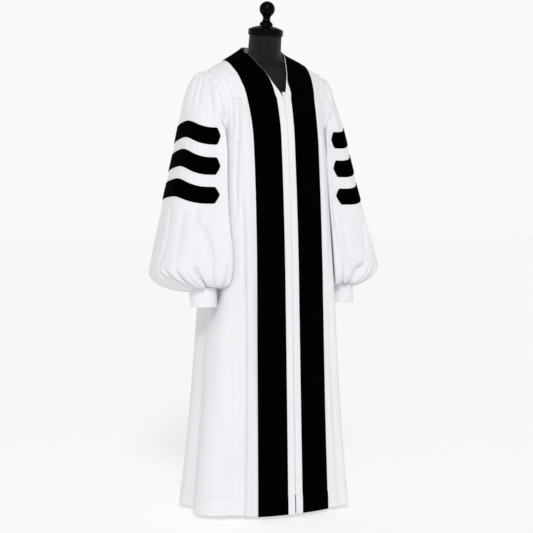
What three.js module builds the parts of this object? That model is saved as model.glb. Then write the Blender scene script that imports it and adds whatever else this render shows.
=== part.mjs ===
// A clergy robe with black velvet panels and sleeve bars, on a limbless dress form.
// Millimetres, +Z up, the front faces -Y, the wearer's right arm is on the -X side.
import * as THREE from 'three';

// Driving sizes
const HEM_UP = 12;
const WALL = 1.6;
const VELVET_WALL = 2;
const SEAM_TRIM = 0.25;
const LAY_GAP = 0.5;
const YOKE_SEAM_UP = 1318;
const UNDERARM_UP = 1166;
const BODY_MID_Y = 0;

// Column counts
const VELVET_COLUMNS = 4;
const GATHER_COLUMNS = 10;
const BACK_COLUMNS = 32;
const YOKE_ROWS = 7;
const BACK_YOKE_RAYS = 9;
const BACK_YOKE_OUTER_COLUMNS = 4;
// Share of the back yoke's rays that end at the armhole
const ARMHOLE_SHARE = 0.5;

// Body sections: height above the hem, half width, depths to the front and back, squareness
const bodySections = [
  { up: 0, half: 285, front: 209, back: 214, square: 2.3 },
  { up: 300, half: 253, front: 199, back: 199, square: 2.35 },
  { up: 520, half: 234, front: 191.5, back: 188, square: 2.5 },
  { up: 650, half: 223, front: 187, back: 181, square: 2.65 },
  { up: 800, half: 205, front: 181.5, back: 172, square: 2.95 },
  { up: 1000, half: 186, front: 170, back: 158, square: 3.3 },
  { up: 1166, half: 180, front: 156.5, back: 143, square: 3.3 },
  { up: 1217, half: 177, front: 151, back: 138, square: 3.1 },
  { up: 1280, half: 174, front: 137, back: 128, square: 2.9 },
  { up: 1318, half: 174, front: 125.5, back: 119, square: 2.7 },
];

// Heights of the body rows above the hem
const bodyRows = [0, 60, 220, 390, 540, 645, 725, 820, 930, 1040, 1115, 1166, 1206, 1244, 1278, 1303, 1318];

// The front edge, and where the velvet panel lies, as distances from the middle line
const frontStations = [
  { up: 0, edge: 2.2, inner: 25.7, outer: 124.8 },
  { up: 300, edge: 1.6, inner: 24.8, outer: 120.8 },
  { up: 600, edge: 0.9, inner: 24.2, outer: 118.2 },
  { up: 940, edge: 0.7, inner: 23.9, outer: 115.6 },
  { up: 1217, edge: 0.7, inner: 23.7, outer: 115.7 },
  { up: 1318, edge: 0.7, inner: 25.5, outer: 120.4 },
];

// Gathers under the front yoke: place across the gathered cloth, width, depth and length
const frontGathers = [
  { at: 0.05, width: 0.05, depth: 4, length: 60 },
  { at: 0.38, width: 0.07, depth: 7, length: 170 },
  { at: 0.67, width: 0.06, depth: 5, length: 90 },
  { at: 0.93, width: 0.05, depth: 4, length: 60 },
];

// Flutes of the skirt fronts: depth at the hem (a ridge is positive) and the height where they fade out
const frontFlutes = {
  right: [
    { at: 0.05, width: 0.07, depth: -16, top: 1180 },
    { at: 0.31, width: 0.13, depth: -30, top: 1020 },
    { at: 0.62, width: 0.14, depth: 6, top: 800 },
    { at: 0.97, width: 0.13, depth: -36, top: 900 },
  ],
  left: [
    { at: 0.06, width: 0.07, depth: -17, top: 1180 },
    { at: 0.27, width: 0.13, depth: 15, top: 900 },
    { at: 0.56, width: 0.11, depth: -24, top: 960 },
    { at: 0.97, width: 0.12, depth: -30, top: 880 },
  ],
};

// Flutes of the back, from the right side seam (-1) to the left one (1)
const backFlutes = [
  { at: -0.8, width: 0.1, depth: 8, top: 900 },
  { at: -0.6, width: 0.09, depth: -30, top: 1180 },
  { at: -0.23, width: 0.08, depth: -27, top: 1240 },
  { at: 0.14, width: 0.09, depth: -31, top: 1240 },
  { at: 0.55, width: 0.09, depth: -28, top: 1180 },
  { at: 0.8, width: 0.1, depth: 9, top: 900 },
];

// Where the cuffs and the puffed sleeves press the fronts in: place across, middle height, reach, depth
const CUFF_DENT = { at: 0.75, width: 0.24, up: 690, reach: 110, depth: 22 };

const BACK_GATHERS = 13;
const BACK_GATHER_DEPTH = 6;

// The armhole is a loop: height and depth of its centre, its reach, and how far it bows in
const armhole = { up: 1287, y: 15, reachUp: 121, front: 92, back: 94, x: 194, lean: 13, bow: 23 };

// Sleeve rings from the armhole to the cuff: outer and inner ends, heights of the front and back lines
const sleeveEnds = [
  { outX: 207, outUp: 1408, inX: 181, inUp: 1166, frontUp: 1287, backUp: 1287 },
  { outX: 231, outUp: 1399, inX: 184, inUp: 1163, frontUp: 1281, backUp: 1281 },
  { outX: 248, outUp: 1364, inX: 185, inUp: 1161, frontUp: 1267, backUp: 1267 },
  { outX: 263, outUp: 1320, inX: 184, inUp: 1160, frontUp: 1252, backUp: 1250 },
  { outX: 274, outUp: 1274, inX: 183, inUp: 1158, frontUp: 1236, backUp: 1236 },
  { outX: 282, outUp: 1236, inX: 181, inUp: 1153, frontUp: 1221, backUp: 1222 },
  { outX: 294, outUp: 1182, inX: 178, inUp: 1138, frontUp: 1167, backUp: 1170 },
  { outX: 302, outUp: 1145, inX: 177, inUp: 1114, frontUp: 1127, backUp: 1132 },
  { outX: 315, outUp: 1091, inX: 177, inUp: 1060, frontUp: 1072, backUp: 1078 },
  { outX: 324, outUp: 1053, inX: 177, inUp: 1022, frontUp: 1034, backUp: 1040 },
  { outX: 339, outUp: 998, inX: 177, inUp: 968, frontUp: 981, backUp: 985 },
  { outX: 355, outUp: 926, inX: 177, inUp: 906, frontUp: 914, backUp: 915 },
  { outX: 374, outUp: 852, inX: 176, inUp: 846, frontUp: 854, backUp: 846 },
  { outX: 394, outUp: 788, inX: 176, inUp: 788, frontUp: 800, backUp: 782 },
  { outX: 397, outUp: 752, inX: 178, inUp: 758, frontUp: 772, backUp: 741 },
  { outX: 376, outUp: 724, inX: 182, inUp: 728, frontUp: 746, backUp: 709 },
  { outX: 335, outUp: 708, inX: 190, inUp: 711, frontUp: 726, backUp: 696 },
  { outX: 307, outUp: 708, inX: 203, inUp: 712, frontUp: 719, backUp: 702 },
  { outX: 294.6, outUp: 719.3, inX: 205.4, inUp: 719.3, frontUp: 719.3, backUp: 719.3 },
];
// The same rings' sections: middle in depth, reach to the front and back, how far those lines bow in, rise of
// the outer crest, squareness, and the squareness of the inner front corner and how far it stands out
const sleeveSections = [
  { y: 15, front: 92, back: 94, bow: 23, crest: 0, square: 2, corner: 2, lobe: 0 },
  { y: 26, front: 103, back: 97, bow: 16, crest: 0, square: 2, corner: 2, lobe: 1 },
  { y: 40, front: 113, back: 98, bow: 15, crest: 1, square: 2, corner: 2.1, lobe: 6 },
  { y: 43, front: 116, back: 98, bow: 13, crest: 4, square: 2.1, corner: 2.4, lobe: 11 },
  { y: 41, front: 114, back: 100, bow: 10, crest: 8, square: 2.2, corner: 3, lobe: 16 },
  { y: 38, front: 111, back: 103, bow: 7, crest: 11, square: 2.3, corner: 3.8, lobe: 20 },
  { y: 33, front: 110, back: 108, bow: 4, crest: 12, square: 2.4, corner: 4.5, lobe: 22 },
  { y: 31, front: 111, back: 109, bow: 2, crest: 12, square: 2.4, corner: 4.8, lobe: 22 },
  { y: 28, front: 112, back: 111, bow: 0, crest: 11, square: 2.5, corner: 4.8, lobe: 22 },
  { y: 26, front: 113, back: 113, bow: 0, crest: 10, square: 2.5, corner: 4.8, lobe: 22 },
  { y: 22, front: 116, back: 115, bow: 0, crest: 8, square: 2.5, corner: 4.8, lobe: 22 },
  { y: 15, front: 121, back: 119, bow: 0, crest: 4, square: 2.5, corner: 4.6, lobe: 23 },
  { y: 9, front: 129, back: 125, bow: 0, crest: 0, square: 2.5, corner: 4.3, lobe: 25 },
  { y: 4, front: 135, back: 129, bow: 0, crest: 6, square: 2.4, corner: 4, lobe: 26 },
  { y: 0, front: 132, back: 128, bow: 0, crest: 11, square: 2.3, corner: 3.9, lobe: 26 },
  { y: -12, front: 118, back: 113, bow: 0, crest: 13, square: 2.1, corner: 3.8, lobe: 24 },
  { y: -32, front: 88, back: 84, bow: 0, crest: 10, square: 2, corner: 3.4, lobe: 20 },
  { y: -44, front: 58, back: 60, bow: 0, crest: 0, square: 2, corner: 2, lobe: 0 },
  { y: -50, front: 44.6, back: 44.6, bow: 0, crest: 0, square: 2, corner: 2, lobe: 0 },
];
const CREST_AT = 20;
const CREST_WIDTH = 26;
const LOBE_AT = 132;
const LOBE_WIDTH = 24;
// Each cap is fuller towards the back, the right one more: depth at a ring and an angle, with their reach
const capFullness = { right: 10, left: 0, ring: 2.2, rings: 1.6, angle: -20, angles: 50 };

// Columns of a sleeve in degrees from its outer line to the front and round: close over the cap, wide within
const SLEEVE_CAP_SPAN = 112;
const SLEEVE_CAP_COLUMNS = 26;
const SLEEVE_INNER_COLUMNS = 10;
// Each sleeve wall is three gores: their first and last columns, counted on past the last one for the back
const sleeveGores = [
  { name: 'front', first: 13, last: 24 },
  { name: 'inner', first: 24, last: 38 },
  { name: 'back', first: 38, last: 49 },
];

// Gathers at the sleeve cap: angle at the armhole and lower down, width in degrees, depth, length
const CAP_GATHER_DRIFT = 140;
const capGathers = [
  { from: 12, to: 32, width: 7, depth: 7, length: 120 },
  { from: 26, to: 50, width: 6, depth: 6, length: 150 },
  { from: 40, to: 58, width: 5, depth: 5, length: 45 },
  { from: 53, to: 66, width: 5, depth: 5, length: 40 },
  { from: 66, to: 76, width: 6, depth: 6, length: 120 },
  { from: 80, to: 90, width: 6, depth: 7, length: 110 },
  { from: -7, to: 4, width: 6, depth: 6, length: 90 },
  { from: -24, to: -22, width: 7, depth: 6, length: 140 },
  { from: -42, to: -48, width: 6, depth: 6, length: 80 },
  { from: -60, to: -70, width: 6, depth: 6, length: 130 },
  { from: -80, to: -92, width: 6, depth: 6, length: 100 },
];

// Long soft folds of the sleeve: angle and height at the upper and lower ends, width in degrees, depth
const sleeveFolds = [
  { fromUp: 1010, fromAt: 78, toUp: 745, toAt: 124, width: 10, depth: -12 },
  { fromUp: 1020, fromAt: 52, toUp: 760, toAt: 34, width: 9, depth: -9 },
  { fromUp: 1180, fromAt: 108, toUp: 800, toAt: 102, width: 12, depth: 8 },
  { fromUp: 960, fromAt: -8, toUp: 750, toAt: -22, width: 10, depth: -10 },
  { fromUp: 1100, fromAt: -72, toUp: 760, toAt: -50, width: 11, depth: -11 },
  { fromUp: 980, fromAt: -118, toUp: 760, toAt: -96, width: 11, depth: -10 },
];

const CUFF_GATHERS = 17;
const CUFF_GATHER_DEPTH = 7;
// The sleeve keeps this far off the body, and bends away from it with this sharpness
const SLEEVE_BODY_GAP = 7;
const SLEEVE_BODY_BEND = 30;

// Cuff: a short round band below each sleeve
const cuff = {
  topUp: 717.3, topX: 250, topY: -50, topRadius: 43.2, lowUp: 656, lowX: 249, lowY: -57, lowRadius: 42,
};
const CUFF_SIDES = 26;
const CUFF_WALL = 2.4;

// Bars: the sleeve rings that their top and bottom edges follow, and their ends in degrees
const bars = [
  { topRing: 5, lowRing: 6, front: 98, back: -90 },
  { topRing: 7, lowRing: 8, front: 98, back: -90 },
  { topRing: 9, lowRing: 10, front: 98, back: -90 },
];
// How near the bar's long edges come to its tip before the end
const BAR_TIP = 0.93;
const BAR_CROWN = 1.6;
const BAR_GAP = 0.7;

// Neck edge from the foot of the V over the shoulder to the middle of the back
const neckEdgeFront = [
  { up: 1318, x: 0.7, y: -125.4 },
  { up: 1345, x: 13, y: -113 },
  { up: 1372, x: 25, y: -93 },
  { up: 1400, x: 36, y: -74.5 },
  { up: 1438, x: 52, y: -36 },
  { up: 1467, x: 64.5, y: -4 },
  { up: 1478, x: 70, y: 19 },
];
const neckEdgeBack = [
  { up: 1478, x: 70, y: 19 },
  { up: 1495, x: 67, y: 46 },
  { up: 1501, x: 42, y: 69 },
  { up: 1502, x: 0, y: 79 },
];
// Height where the velvet's inner edge has come to the neck edge, and its share in width from there on
const STRIP_TOP = 1392;
const NECK_EDGE_SHARE = 0.012;

// Shoulder line from the neck to the sleeve, with the velvet panel's outer edge at its second row
const shoulderLine = [
  { x: 70, y: 19, up: 1478 },
  { x: 139, y: 24, up: 1446.5 },
  { x: 180, y: 20, up: 1426 },
  { x: 206, y: 15, up: 1408 },
];
const backMiddleLine = [
  { x: 0, y: 79, up: 1502 },
  { x: 0, y: 97, up: 1436 },
  { x: 0, y: 114, up: 1370 },
  { x: 0, y: 119, up: 1318 },
];
// How far the yokes swell out between their borders, and the direction of each swell
const backSwell = { most: 11, x: 0.35, y: 0.75, z: 0.45 };
const frontSwell = { most: 4, x: 0, y: -0.8, z: 0.6 };
// Rise of the shoulder under the velvet
const SHOULDER_CROWN = 1.5;
const BACK_VELVET_WIDTH = { shoulder: 75.9, middle: 60 };
// Width of the flat band that stands up along the armhole edge of the yoke
const RIDGE = { height: 1.6, offset: 18, width: 5 };

// Dress form: rings from the hip to the neck
const torsoRings = [
  { up: 690, half: 60, front: 50, back: 50, y: 5 },
  { up: 692, half: 146, front: 96, back: 98, y: 5 },
  { up: 725, half: 157, front: 106, back: 112, y: 5 },
  { up: 810, half: 161, front: 108, back: 116, y: 5 },
  { up: 910, half: 146, front: 104, back: 104, y: 4 },
  { up: 1010, half: 133, front: 101, back: 92, y: 2 },
  { up: 1110, half: 144, front: 108, back: 98, y: 2 },
  { up: 1200, half: 158, front: 114, back: 106, y: 3 },
  { up: 1290, half: 160, front: 106, back: 104, y: 6 },
  { up: 1350, half: 166, front: 88, back: 94, y: 10 },
  { up: 1388, half: 177, front: 68, back: 78, y: 14 },
  { up: 1408, half: 181, front: 54, back: 60, y: 18 },
  { up: 1423, half: 175, front: 46, back: 50, y: 20 },
  { up: 1433.5, half: 160, front: 44, back: 46, y: 21 },
  { up: 1442.5, half: 140, front: 45, back: 45, y: 21 },
  { up: 1449, half: 115, front: 46, back: 46, y: 20 },
  { up: 1456, half: 80, front: 46.5, back: 48, y: 19 },
  { up: 1466, half: 60, front: 50, back: 50, y: 17 },
  { up: 1484, half: 55, front: 54, back: 53, y: 16 },
  { up: 1539, half: 53, front: 53, back: 53, y: 7 },
];
const TORSO_SIDES = 24;
const NECK_TOP = { up: 1539, y: 7 };
const NECK_TILT = 8.5;
const capProfile = [
  { r: 0, up: 8.6 }, { r: 54, up: 8.6 }, { r: 54.5, up: -4 }, { r: 57.5, up: -4 }, { r: 57.5, up: 13 },
  { r: 56, up: 16 }, { r: 42, up: 22 }, { r: 26, up: 26.5 }, { r: 0, up: 27 },
];
const finialProfile = [
  { r: 0, up: 27.3 }, { r: 21, up: 27.3 }, { r: 22, up: 31 }, { r: 21, up: 36 }, { r: 14, up: 42 },
  { r: 11.8, up: 49 }, { r: 13, up: 57 },
];
// The finial's ball, and the angle from its foot at which its outline starts
const BALL_RADIUS = 25.5;
const BALL_UP = 81;
const BALL_FROM = 0.785;
const BALL_STEPS = 8;
const TURNED_SIDES = 24;
const POLE = { radius: 13, lowUp: 8.4, topUp: 701.6, sides: 20 };
const baseProfile = [
  { r: 0, up: 0 }, { r: 158, up: 0 }, { r: 160, up: 1.5 }, { r: 160, up: 3.5 }, { r: 154, up: 6 },
  { r: 60, up: 8 }, { r: 0, up: 8 },
];

// Zip tape behind the fronts: it narrows above the yoke seam, where it lies in the foot of the V
const TAPE = { lowUp: 60, half: 12, behind: 0.7, wall: 1 };
const tapeTop = [
  { up: 1318, half: 8, y: -121.6 },
  { up: 1328, half: 4.5, y: -116.5 },
  { up: 1336, half: 4, y: -116.2 },
];

// Zip slider in the foot of the V, with a round eye in front for the pull tab's bar
const SLIDER = { half: 3, front: -122, back: -117, lowUp: 1329, topUp: 1338.5 };
const EYE = { y: -125, up: 1334, radius: 2.8, hole: 1.5, steps: 9 };
// Pull tab: a frame round the eye, drawn in to a tab that lies just off the cloth
const PULL = {
  frameHalf: 4.7, frameLow: -5.4, windowHalf: 3.5, windowLow: -4, bar: 0.7,
  half: 2.7, neckLow: -8, length: 18,
};
const PULL_CORNER = 1.5;
const PULL_THICK = 1.4;
const PULL_LEAN = 10;

const colours = {
  cloth: { color: 0xf5f4f8, roughness: 0.85, metalness: 0 },
  velvet: { color: 0x060608, roughness: 1, metalness: 0 },
  formCloth: { color: 0x1b1b1d, roughness: 0.9, metalness: 0 },
  gloss: { color: 0x0a0a0b, roughness: 0.25, metalness: 0 },
  zip: { color: 0xe9e9ec, roughness: 0.4, metalness: 0 },
};

const DEGREE = Math.PI / 180;
const clamp = (value, low, high) => Math.min(high, Math.max(low, value));
const mix = (a, b, t) => a + (b - a) * t;
const smooth = (t) => { const s = clamp(t, 0, 1); return s * s * (3 - 2 * s); };
const bump = (distance, width) => Math.exp(-((distance / width) ** 2));
const point = (x, y, up) => new THREE.Vector3(x, y, up + HEM_UP);
const mixPoint = (a, b, t) => a.clone().lerp(b, t);

// Reads a table smoothly: a cubic through its rows, with the slope at each row from its neighbours
function readTable(table, key, at) {
  const last = table.length - 1;
  const up = table[last][key] > table[0][key];
  let i = 0;
  while (i < last - 1 && (up ? at > table[i + 1][key] : at < table[i + 1][key])) i += 1;
  const a = table[i];
  const b = table[i + 1];
  const before = table[Math.max(i - 1, 0)];
  const after = table[Math.min(i + 2, last)];
  const span = b[key] - a[key];
  const t = clamp((at - a[key]) / span, 0, 1);
  const row = {};
  for (const name of Object.keys(a)) {
    const slopeA = ((b[name] - before[name]) / (b[key] - before[key])) * span;
    const slopeB = ((after[name] - a[name]) / (after[key] - a[key])) * span;
    row[name] = a[name] * (2 * t ** 3 - 3 * t ** 2 + 1) + slopeA * (t ** 3 - 2 * t ** 2 + t)
      + b[name] * (3 * t ** 2 - 2 * t ** 3) + slopeB * (t ** 3 - t ** 2);
  }
  row[key] = at;
  return row;
}

// A table's rows numbered, so that it can be read by place along it
const numbered = (table) => table.map((row, index) => ({ ...row, index }));

// A point of the armhole loop, from its top (0 degrees) to the front and round
function armholePoint(angle) {
  const depth = Math.sin(angle) > 0 ? armhole.front : armhole.back;
  return point(
    armhole.x + armhole.lean * Math.cos(angle) - armhole.bow * Math.sin(angle) ** 2,
    armhole.y - depth * Math.sin(angle),
    armhole.up + armhole.reachUp * Math.cos(angle),
  );
}

// The armhole angle at a height, on the front half of the loop
const armholeAngle = (up) => Math.acos(clamp((up - armhole.up) / armhole.reachUp, -1, 1));

// Where the side of a body panel lies at a height: the side seam, or the armhole edge above the underarm
function sidePoint(up, isFront) {
  const angle = up > UNDERARM_UP ? armholeAngle(up) : Math.PI;
  const edge = armholePoint(isFront ? angle : -angle);
  return { x: edge.x, y: edge.y };
}

// Distance of the plain body section from its middle in a direction, 0 to the front
function plainRadius(turn, up) {
  const section = readTable(bodySections, 'up', up);
  const depth = Math.cos(turn) > 0 ? section.front : section.back;
  const sum = Math.abs(Math.sin(turn) / section.half) ** section.square
    + Math.abs(Math.cos(turn) / depth) ** section.square;
  return sum ** (-1 / section.square);
}

// The turn at which the plain section stands a given distance from the middle line
function turnAt(x, up) {
  let low = 0;
  let high = Math.PI / 2;
  for (let i = 0; i < 30; i += 1) {
    const turn = (low + high) / 2;
    if (plainRadius(turn, up) * Math.sin(turn) < x) low = turn;
    else high = turn;
  }
  return (low + high) / 2;
}

const sideTurn = (up, isFront) => {
  const side = sidePoint(up, isFront);
  return Math.atan2(side.x, -(side.y - BODY_MID_Y));
};

function fluteDepth(flutes, across, up) {
  let sum = 0;
  for (const flute of flutes) {
    const grow = clamp(1 - up / flute.top, 0, 1) ** 1.2;
    sum += flute.depth * grow * bump(across - flute.at, flute.width);
  }
  return sum;
}

function gatherDepth(gathers, across, up) {
  const below = YOKE_SEAM_UP - up;
  let sum = 0;
  for (const gather of gathers) {
    const grow = smooth(below / 9) * Math.exp(-below / gather.length);
    sum -= gather.depth * grow * bump(across - gather.at, gather.width);
  }
  return sum;
}

// Places of the back gathers, a little uneven
const backGathers = [];
for (let i = 0; i < BACK_GATHERS; i += 1) {
  const even = -0.9 + (1.8 * i) / (BACK_GATHERS - 1);
  const length = 110 + 90 * Math.abs(Math.sin(2.3 * i + 0.4));
  backGathers.push({ at: even + 0.018 * Math.sin(5.1 * i), width: 0.045, depth: BACK_GATHER_DEPTH, length });
}

// How far the section has to move to meet the armhole edge or side seam, from a height on
const SIDE_SHIFT_FROM = 1040;
function sideShift(up, isFront) {
  const side = sidePoint(up, isFront);
  const reach = Math.hypot(side.x, side.y - BODY_MID_Y);
  const fade = smooth((up - SIDE_SHIFT_FROM) / (UNDERARM_UP - SIDE_SHIFT_FROM));
  return (reach - plainRadius(sideTurn(up, isFront), up)) * fade;
}

// A front panel's surface: across is 0 at the velvet's outer edge and 1 at the side
function frontPoint(side, across, turn, up) {
  const name = side < 0 ? 'right' : 'left';
  const cloth = Math.max(across, 0);
  let radius = plainRadius(turn, up) + sideShift(up, true) * cloth ** 3;
  const still = across < 0 ? 0 : smooth(across / 0.04 + 0.2);
  radius += still * (fluteDepth(frontFlutes[name], cloth, up) + gatherDepth(frontGathers, cloth, up));
  const beside = bump(cloth - CUFF_DENT.at, CUFF_DENT.width) * bump(up - CUFF_DENT.up, CUFF_DENT.reach);
  radius -= CUFF_DENT.depth * beside;
  return point(side * radius * Math.sin(turn), BODY_MID_Y - radius * Math.cos(turn), up);
}

// One row of a front panel: front edge, velvet's inner edge, velvet columns, gathered columns
function frontRow(side, up) {
  const station = readTable(frontStations, 'up', up);
  const row = [frontPoint(side, -1, turnAt(station.edge, up), up)];
  for (let i = 0; i <= VELVET_COLUMNS; i += 1) {
    const x = mix(station.inner, station.outer, i / VELVET_COLUMNS);
    row.push(frontPoint(side, -1, turnAt(x, up), up));
  }
  const from = turnAt(station.outer, up);
  const to = sideTurn(up, true);
  for (let i = 1; i <= GATHER_COLUMNS; i += 1) {
    const across = i / GATHER_COLUMNS;
    row.push(frontPoint(side, across, mix(from, to, across), up));
  }
  return row;
}

function backPoint(across, up) {
  const to = sideTurn(up, false);
  const turn = Math.PI + across * (to - Math.PI);
  const radius = plainRadius(turn, up) + sideShift(up, false) * Math.abs(across) ** 3
    + sideFlute(across, up) + fluteDepth(backFlutes, across, up) + gatherDepth(backGathers, across, up);
  return point(radius * Math.sin(turn), BODY_MID_Y - radius * Math.cos(turn), up);
}

// The flute at each side seam runs on from the front panel into the back
function sideFlute(across, up) {
  const name = across < 0 ? 'right' : 'left';
  const flute = frontFlutes[name][3];
  const grow = clamp(1 - up / flute.top, 0, 1) ** 1.2;
  return flute.depth * grow * bump((1.03 - Math.abs(across)) * 1.2, flute.width);
}

const backRow = (up) => {
  const row = [];
  for (let i = 0; i <= BACK_COLUMNS; i += 1) row.push(backPoint(1 - (2 * i) / BACK_COLUMNS, up));
  return row;
};

// Distance of the body's cloth from its middle in any direction, folds included
function bodyRadius(side, turn, up) {
  if (up > UNDERARM_UP) return plainRadius(turn, up);
  const seam = sideTurn(up, true);
  const from = turnAt(readTable(frontStations, 'up', clamp(up, 0, YOKE_SEAM_UP)).outer, up);
  const spot = turn < seam
    ? frontPoint(side, (turn - from) / (seam - from), turn, up)
    : backPoint((side * (Math.PI - turn)) / (Math.PI - seam), up);
  return Math.hypot(spot.x, spot.y - BODY_MID_Y);
}

// Places of the sleeve gathers at the cuff, a little uneven
const cuffGathers = [];
for (let i = 0; i < CUFF_GATHERS; i += 1) {
  const at = (360 * i) / CUFF_GATHERS + 4 * Math.sin(3.7 * i);
  cuffGathers.push({ at, width: 6, depth: CUFF_GATHER_DEPTH * (0.7 + 0.3 * Math.sin(2.1 * i + 1)) });
}

const turnApart = (a, b) => Math.abs(((a - b + 540) % 360) - 180);

// Depth of the sleeve's folds at a place: below is the distance down from the armhole
function sleeveFoldDepth(angle, up, below) {
  let sum = 0;
  for (const gather of capGathers) {
    const at = mix(gather.from, gather.to, clamp(below / CAP_GATHER_DRIFT, 0, 1));
    const grow = smooth((below + 4) / 12) * Math.exp(-below / gather.length);
    sum -= gather.depth * grow * bump(turnApart(angle, at), gather.width);
  }
  for (const fold of sleeveFolds) {
    const t = (fold.fromUp - up) / (fold.fromUp - fold.toUp);
    const grow = smooth(t * 2.5 + 0.2) * smooth((1 - t) * 2.5 + 0.6);
    sum += fold.depth * grow * bump(turnApart(angle, mix(fold.fromAt, fold.toAt, t)), fold.width);
  }
  return sum;
}

const sleeveTable = sleeveEnds.map((row, index) => ({ ...row, ...sleeveSections[index], index }));
const LAST_RING = sleeveTable.length - 1;

// Height on a ring: from its outer end to its front or back line, which runs on level before it drops inside
function sleeveHeight(ring, place, turn) {
  const level = Math.sin(turn) > 0 ? ring.frontUp : ring.backUp;
  const cos = Math.cos(turn);
  const settled = smooth(place / 4);
  if (cos > 0) return mix(level, ring.outUp, cos ** mix(1, 1.6, settled));
  return mix(level, ring.inUp, Math.abs(cos) ** mix(1, 3, settled));
}

// A point of the sleeve: place counts the rings from the armhole, angle is in degrees from the outer line
function sleevePoint(side, place, angle) {
  const ring = readTable(sleeveTable, 'index', place);
  const turn = angle * DEGREE;
  const isCorner = Math.cos(turn) < 0 && Math.sin(turn) > 0;
  const shape = (value) => Math.sign(value) * Math.abs(value) ** (2 / (isCorner ? ring.corner : ring.square));
  const cos = shape(Math.cos(turn));
  const sin = shape(Math.sin(turn));
  const mid = point((ring.outX + ring.inX) / 2, ring.y, (ring.outUp + ring.inUp) / 2);
  const spot = mid.clone();
  spot.x += ((ring.outX - ring.inX) / 2) * cos - ring.bow * Math.sin(turn) ** 2;
  spot.y -= (sin > 0 ? ring.front : ring.back) * sin;
  const crest = ring.crest * bump(turnApart(angle, CREST_AT), CREST_WIDTH);
  spot.z = HEM_UP + sleeveHeight(ring, place, turn) + crest;
  const away = spot.clone().sub(mid).normalize();
  const below = Math.hypot(spot.z - armholePoint(turn).z, spot.x - armholePoint(turn).x);
  const atCuff = smooth((LAST_RING - place - 0.5) / 2);
  spot.addScaledVector(away, atCuff * sleeveFoldDepth(angle, spot.z - HEM_UP, below));
  const fullness = capFullness[side < 0 ? 'right' : 'left'] * smooth(place)
    * bump(place - capFullness.ring, capFullness.rings)
    * bump(turnApart(angle, capFullness.angle), capFullness.angles);
  const lobe = ring.lobe * bump(turnApart(angle, LOBE_AT), LOBE_WIDTH);
  spot.addScaledVector(away, fullness + lobe - cuffFold(angle, place));
  return keepOffBody(side, spot, place);
}

// Gathers above the cuff, deepest a little above the cuff seam
function cuffFold(angle, place) {
  const left = LAST_RING - place;
  const grow = smooth((left - 0.5) / 2) * (1 - smooth((left - 1.5) / 4));
  let sum = 0;
  for (const gather of cuffGathers) sum += gather.depth * bump(turnApart(angle, gather.at), gather.width);
  return sum * grow;
}

// Moves a sleeve point out of the body's cloth, softly
function keepOffBody(side, spot, place) {
  const up = spot.z - HEM_UP;
  const grow = smooth((place - 3) / 2) * smooth((LAST_RING - place) / 1.5);
  if (grow <= 0) return mirrored(side, spot);
  const turn = Math.atan2(spot.x, -(spot.y - BODY_MID_Y));
  const limit = bodyRadius(side, turn, up) + SLEEVE_BODY_GAP;
  const reach = Math.hypot(spot.x, spot.y - BODY_MID_Y) / limit;
  const soft = (reach ** SLEEVE_BODY_BEND + 1) ** (1 / SLEEVE_BODY_BEND);
  const scale = mix(1, soft / reach, grow);
  spot.x *= scale;
  spot.y = BODY_MID_Y + (spot.y - BODY_MID_Y) * scale;
  return mirrored(side, spot);
}

const mirrored = (side, spot) => {
  spot.x *= side;
  return spot;
};

function sleeveAngles() {
  const angles = [];
  for (let i = 0; i <= SLEEVE_CAP_COLUMNS; i += 1) {
    angles.push(mix(-SLEEVE_CAP_SPAN, SLEEVE_CAP_SPAN, i / SLEEVE_CAP_COLUMNS));
  }
  for (let i = 1; i < SLEEVE_INNER_COLUMNS; i += 1) {
    angles.push(mix(SLEEVE_CAP_SPAN, 360 - SLEEVE_CAP_SPAN, i / SLEEVE_INNER_COLUMNS));
  }
  return angles;
}

function sleeveGrid(side) {
  const rows = [];
  for (let place = 0; place <= LAST_RING; place += 1) {
    rows.push(sleeveAngles().map((angle) => sleevePoint(side, place, angle)));
  }
  const outward = new THREE.Vector3(side * 2 * SEAM_TRIM, 0, 0);
  rows[0].forEach((spot) => spot.add(outward));
  return rows;
}

// The columns of a closed row that a gore takes
function goreOf(row, gore) {
  const taken = [];
  for (let j = gore.first; j <= gore.last; j += 1) taken.push(row[j % row.length]);
  return taken;
}

// The neck edge and the other borders of the yokes, read by a share from 0 to 1
const alongTable = (table) => {
  const rows = numbered(table);
  return (share) => {
    const row = readTable(rows, 'index', share * (rows.length - 1));
    return point(row.x, row.y, row.up);
  };
};
const neckFrontAt = alongTable(neckEdgeFront);
const neckBackAt = alongTable(neckEdgeBack);
const backMiddleAt = alongTable(backMiddleLine);

const shoulderLower = alongTable(shoulderLine.slice(1));
// The shoulder line by station number, as the front rows number their stations
function shoulderAt(station) {
  if (station <= VELVET_COLUMNS + 1) {
    const neck = shoulderLine[0];
    const velvet = shoulderLine[1];
    const share = station / (VELVET_COLUMNS + 1);
    const crown = SHOULDER_CROWN * Math.sin(Math.PI * share);
    const up = mix(neck.up, velvet.up, share) + crown;
    return point(mix(neck.x, velvet.x, share), mix(neck.y, velvet.y, share), up);
  }
  return shoulderLower((station - VELVET_COLUMNS - 1) / GATHER_COLUMNS);
}

const FRONT_STATIONS = VELVET_COLUMNS + GATHER_COLUMNS + 1;

// A patch that meets four border lines
function coons(inner, outer, start, end, u, t) {
  const spot = inner(t).multiplyScalar(1 - u).addScaledVector(outer(t), u);
  spot.addScaledVector(start, 1 - t).addScaledVector(end, t);
  spot.addScaledVector(inner(0), -(1 - u) * (1 - t)).addScaledVector(inner(1), -(1 - u) * t);
  spot.addScaledVector(outer(0), -u * (1 - t)).addScaledVector(outer(1), -u * t);
  return spot;
}

// Swells a patch's point out, most in the middle of the patch
function swollen(spot, swell, u, t) {
  const share = swell.most * Math.sin(Math.PI * t) * Math.sin(Math.PI * u);
  return spot.addScaledVector(new THREE.Vector3(swell.x, swell.y, swell.z), share);
}

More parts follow.
